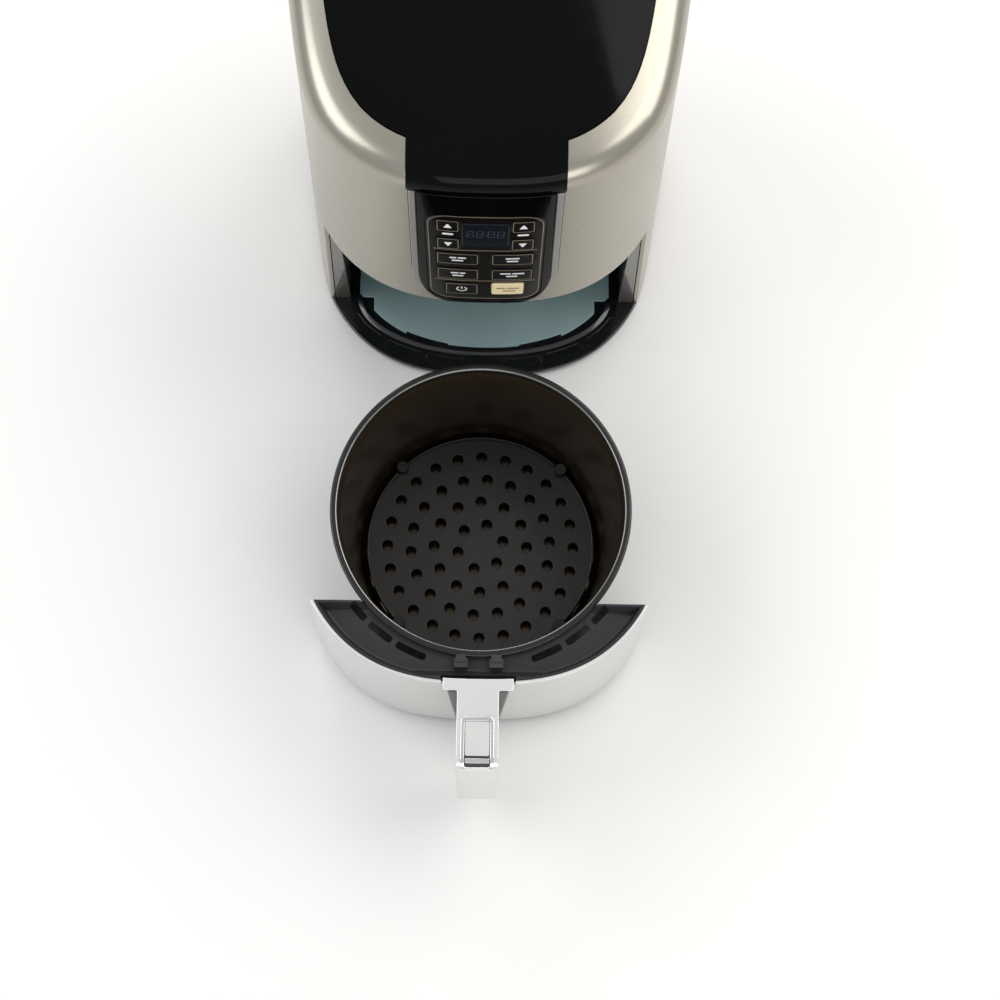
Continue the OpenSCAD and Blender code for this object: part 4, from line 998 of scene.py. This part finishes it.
def drawer_front():
    t, r = 2.2, 1.0
    profile = [(0.0, z) for z in (DRAWER_Z + 0.6, 40, 80, 120, FRONT_TOP - r)]
    for a in [math.radians(degrees) for degrees in (22.5, 45, 67.5, 90)]:
        profile.append((r * (1 - math.cos(a)), FRONT_TOP - r * (1 - math.sin(a))))
    profile += [(t - 0.4, FRONT_TOP), (t - 0.12, FRONT_TOP - 0.12), (t, FRONT_TOP - 0.4), (t, 120), (t, 80),
                (t, 40), (t, DRAWER_Z + 0.6), (t - 0.2, DRAWER_Z + 0.15), (t - 0.6, DRAWER_Z),
                (0.6, DRAWER_Z), (0.2, DRAWER_Z + 0.15)]
    bm = bmesh.new()
    rows = []
    for c in FRONT_COLUMNS:
        row = []
        for inset, z in profile:
            x, y = outline_point(z, inset, c)
            if y > -CLOSED_GAP:
                # The ends stop short of the shell that they close against
                x, y = x - math.copysign(0.45 * (y + CLOSED_GAP), x), -CLOSED_GAP
            row.append(bm.verts.new((x, y, z)))
        rows.append(row)
    add_band(bm, rows)
    bm.faces.new(rows[0])
    bm.faces.new(rows[-1][::-1])
    notch = plate(rounded_rect(50.0, 30, 0.8, 0, -62), 144.5, 160, top=0, bottom=0)
    for v in notch.verts:
        v.co = drawer_at(*v.co)
    finish_mesh("drawer_front_skin", bm, drawer_at, "drawer", "drawer_front", M["front"], whole=True,
                bevel=0.3, smooth=40, cutters=(notch,))


# ---------------------------------------------------------------- handle

BAR_Y0, COVER_TOP, STEM_REACH, BEND_R, BEND = 52.7, 149.6, 104.6, 9.0, 85.0
GRIP_REACH, GRIP_Z = 122.0, 30.0
FLAT = STEM_REACH - BAR_Y0
CURVE = BEND_R * math.radians(BEND)
BEND_END = (-STEM_REACH - BEND_R * math.sin(math.radians(BEND)),
            COVER_TOP - BEND_R + BEND_R * math.cos(math.radians(BEND)))
DROP = math.hypot(-GRIP_REACH - BEND_END[0], GRIP_Z - BEND_END[1])


def handle_at(x, s, t):
    """Point on the handle: x across, s along its outer face from the bar's back edge, t out of the face."""
    if s < FLAT:
        return drawer_at(x, -BAR_Y0 - s, COVER_TOP + t)
    if s < FLAT + CURVE:
        a, r = (s - FLAT) / BEND_R, BEND_R + t
        return drawer_at(x, -STEM_REACH - r * math.sin(a), COVER_TOP - BEND_R + r * math.cos(a))
    u = ((-GRIP_REACH - BEND_END[0]) / DROP, (GRIP_Z - BEND_END[1]) / DROP)
    k = s - FLAT - CURVE
    return drawer_at(x, BEND_END[0] + u[0] * k + u[1] * t, BEND_END[1] + u[1] * k - u[0] * t)


def on_handle(name, bm, slot, mat, whole=False):
    """Piece on the handle, sliced across where the handle bends."""
    slice_mesh(bm, 1, steps_between(FLAT, FLAT + CURVE, 14))
    finish_mesh(name, bm, handle_at, "drawer", slot, mat, whole)


def fillet(corner, a, b, r, steps=5):
    """Points that round a corner between the directions towards a and b."""
    p1 = Vector(corner)
    p0 = p1 + (Vector(a) - p1).normalized() * r
    p2 = p1 + (Vector(b) - p1).normalized() * r
    shares = [k / steps for k in range(steps + 1)]
    return [tuple(p0 * (1 - f) ** 2 + p1 * 2 * (1 - f) * f + p2 * f ** 2) for f in shares]


def rounded_loop(points, radii):
    out, n = [], len(points)
    for i, (p, r) in enumerate(zip(points, radii)):
        out += fillet(p, points[i - 1], points[(i + 1) % n], r) if r else [p]
    return out


def handle():
    bar_w, stem, bar_d = 23.7, 14.1, 7.8
    end = FLAT + CURVE + DROP
    back = [(x, -(sag(x, 148) * 0.9)) for x in steps_between(-bar_w + 1, bar_w - 1, 12)]
    corners = [(bar_w, bar_d), (stem, bar_d), (stem, end), (-stem, end), (-stem, bar_d), (-bar_w, bar_d)]
    loop = rounded_loop([(-bar_w, -0.5)] + back + [(bar_w, -0.5)] + corners,
                        [0.5] + [0] * len(back) + [0.5] + [1.0, 1.6, 4.0, 4.0, 1.6, 1.0])
    skin = plate(ccw(loop), -1.5, 0.0, top=0.5, bottom=0.2, steps=4)
    on_handle("handle_cover_skin", skin, "handle_cover", M["silver"], whole=True)
    # Polished frame that runs over the bend, with the satin pad in its flat part
    s0, s1 = 78 - BAR_Y0, FLAT + CURVE * 0.74
    mid, length = (s0 + s1) / 2, s1 - s0
    bezel = plate(rounded_rect(22.4, length, 3.8, 0, mid, 8), -0.25, 0.95, top=0.45, bottom=0, steps=4,
                  holes=[rounded_rect(17.0, length - 6.0, 1.6, 0, mid, 5)])
    on_handle("handle_bezel_frame", bezel, "handle_bezel", M["chrome"], whole=True)
    p0, p1 = 81.2 - BAR_Y0, STEM_REACH - BAR_Y0 - 0.6
    pad = plate(rounded_rect(16.2, p1 - p0, 1.2, 0, (p0 + p1) / 2, 5), -0.25, 0.45, top=0.3, bottom=0)
    on_handle("handle_pad_inlay", pad, "handle_pad", M["pad"], whole=True)
    lip = plate(rounded_rect(16.2, 3.4, 0.8, 0, p1 + 3.2, 4), -0.25, 0.35, top=0.25, bottom=0)
    on_handle("handle_pad_lip", lip, "handle_pad", M["chrome"])
    well = plate(rounded_rect(17.4, s1 - 3 - p0 + 0.8, 1.4, 0, (p0 + s1 - 3) / 2, 5), -0.3, 0.06,
                 top=0, bottom=0)
    on_handle("handle_well", well, "handle_bezel", M["black"])


# ---------------------------------------------------------------- crisper plate

def crisper():
    r, z, n, notch_r, hole_r, pitch = 85.0, 22.0, 180, 4.6, 4.0, 17.5
    outer = []
    notches = [math.radians(45 + 90 * k) for k in range(4)]
    for k in range(n):
        a = 2 * math.pi * k / n
        x, y = r * math.cos(a), r * math.sin(a)
        for b in notches:
            cx, cy = r * math.cos(b), r * math.sin(b)
            d = math.hypot(x - cx, y - cy)
            if d < notch_r:
                # Step back inside the notch that the bumper fits in
                depth = math.sqrt(notch_r ** 2 - d ** 2)
                x, y = (r - depth) * math.cos(a), (r - depth) * math.sin(a)
        outer.append((x, y + BASKET_Y))
    holes = []
    for row in range(1, 5):
        for k in range(6 * row):
            a = math.radians(15 * row) + 2 * math.pi * k / (6 * row)
            x, y = pitch * row * math.cos(a), pitch * row * math.sin(a)
            holes.append(circle(hole_r, x, BASKET_Y + y, 28))
    sheet = plate(outer, z, z + 1.4, holes=holes, top=0.55, bottom=0.3)
    finish_mesh("crisper_plate_sheet", sheet, drawer_at, "crisper", "crisper_plate", M["plate"], whole=True)
    # Upstanding rim between the bumpers
    rims = []
    for bumper in (45, 135, 225, 315):
        a0, a1 = bumper + 3.6, bumper + 86.4
        loop = arc(r, a0, a1, 48, 0, BASKET_Y) + arc(r - 1.5, a1, a0, 48, 0, BASKET_Y)
        rims.append(plate(ccw(loop), z + 0.4, z + 5, top=0.6, bottom=0.1))
    finish_mesh("crisper_plate_rim", join(rims), drawer_at, "crisper", "crisper_plate", M["plate"])


# ---------------------------------------------------------------- floor, lights and camera

def stage():
    mesh = bpy.data.meshes.new("floor")
    bm = bmesh.new()
    bmesh.ops.create_grid(bm, x_segments=8, y_segments=8, size=4)
    bm.to_mesh(mesh)
    bm.free()
    floor = bpy.data.objects.new("floor", mesh)
    scene.collection.objects.link(floor)
    mesh.materials.append(material("pale_floor", (0.80, 0.79, 0.765), 0.45, 0, 0.012, 1.3, 0.04, 0.0, 300))
    world = bpy.data.worlds.new("studio")
    world.use_nodes = True
    background = world.node_tree.nodes["Background"]
    background.inputs["Color"].default_value = (0.95, 0.96, 1.0, 1)
    background.inputs["Strength"].default_value = 0.62
    scene.world = world
    for name, place, aim, size, power, tint in (
            ("key", (1.35, 0.8, 1.9), (0, 0, 0.1), (2.3, 1.6), 31, (1, 0.985, 0.96)),
            ("fill", (-1.6, 0.2, 1.8), (0, 0, 0.1), (1.8, 1.2), 19, (0.96, 0.98, 1)),
            ("front", (0.5, -2.0, 1.2), (0, 0, 0.15), (2.0, 1.0), 14, (1, 0.98, 0.95)),
            ("back", (-0.5, 1.9, 1.7), (0, 0.1, 0.2), (1.2, 0.8), 12, (1, 1, 1))):
        lamp = bpy.data.lights.new(name, "AREA")
        lamp.shape = "RECTANGLE"
        lamp.size, lamp.size_y = size
        lamp.energy = power
        lamp.color = tint
        obj = bpy.data.objects.new(name, lamp)
        obj.location = place
        obj.rotation_euler = (Vector(aim) - Vector(place)).to_track_quat("-Z", "Y").to_euler()
        scene.collection.objects.link(obj)


def camera():
    pitch, yaw, roll = (math.radians(a) for a in (75.634, -2.537, 3.387))
    turn = Matrix.Rotation(yaw, 3, "Z")
    forward = turn @ Vector((0, math.cos(pitch), -math.sin(pitch)))
    right = turn @ Vector((1, 0, 0))
    up = turn @ Vector((0, math.sin(pitch), math.cos(pitch)))
    right, up = (math.cos(roll) * right + math.sin(roll) * up, -math.sin(roll) * right + math.cos(roll) * up)
    data = bpy.data.cameras.new("camera")
    data.sensor_width = 36
    data.lens = 63.70
    data.clip_start = 0.02
    obj = bpy.data.objects.new("camera", data)
    rotation = Matrix((right, up, -forward)).transposed().to_4x4()
    obj.matrix_world = Matrix.Translation((-0.00041, -0.41859, 1.32387)) @ rotation
    scene.collection.objects.link(obj)
    scene.camera = obj


dress_cad_nodes()
outer_shell()
top_cover()
control_panel()
keypad()
display()
buttons()
base_ledge()
jamb_feet()
floor_plate()
basket()
drawer_tray()
drawer_front()
handle()
crisper()
stage()
camera()
scene.view_settings.view_transform = "Standard"
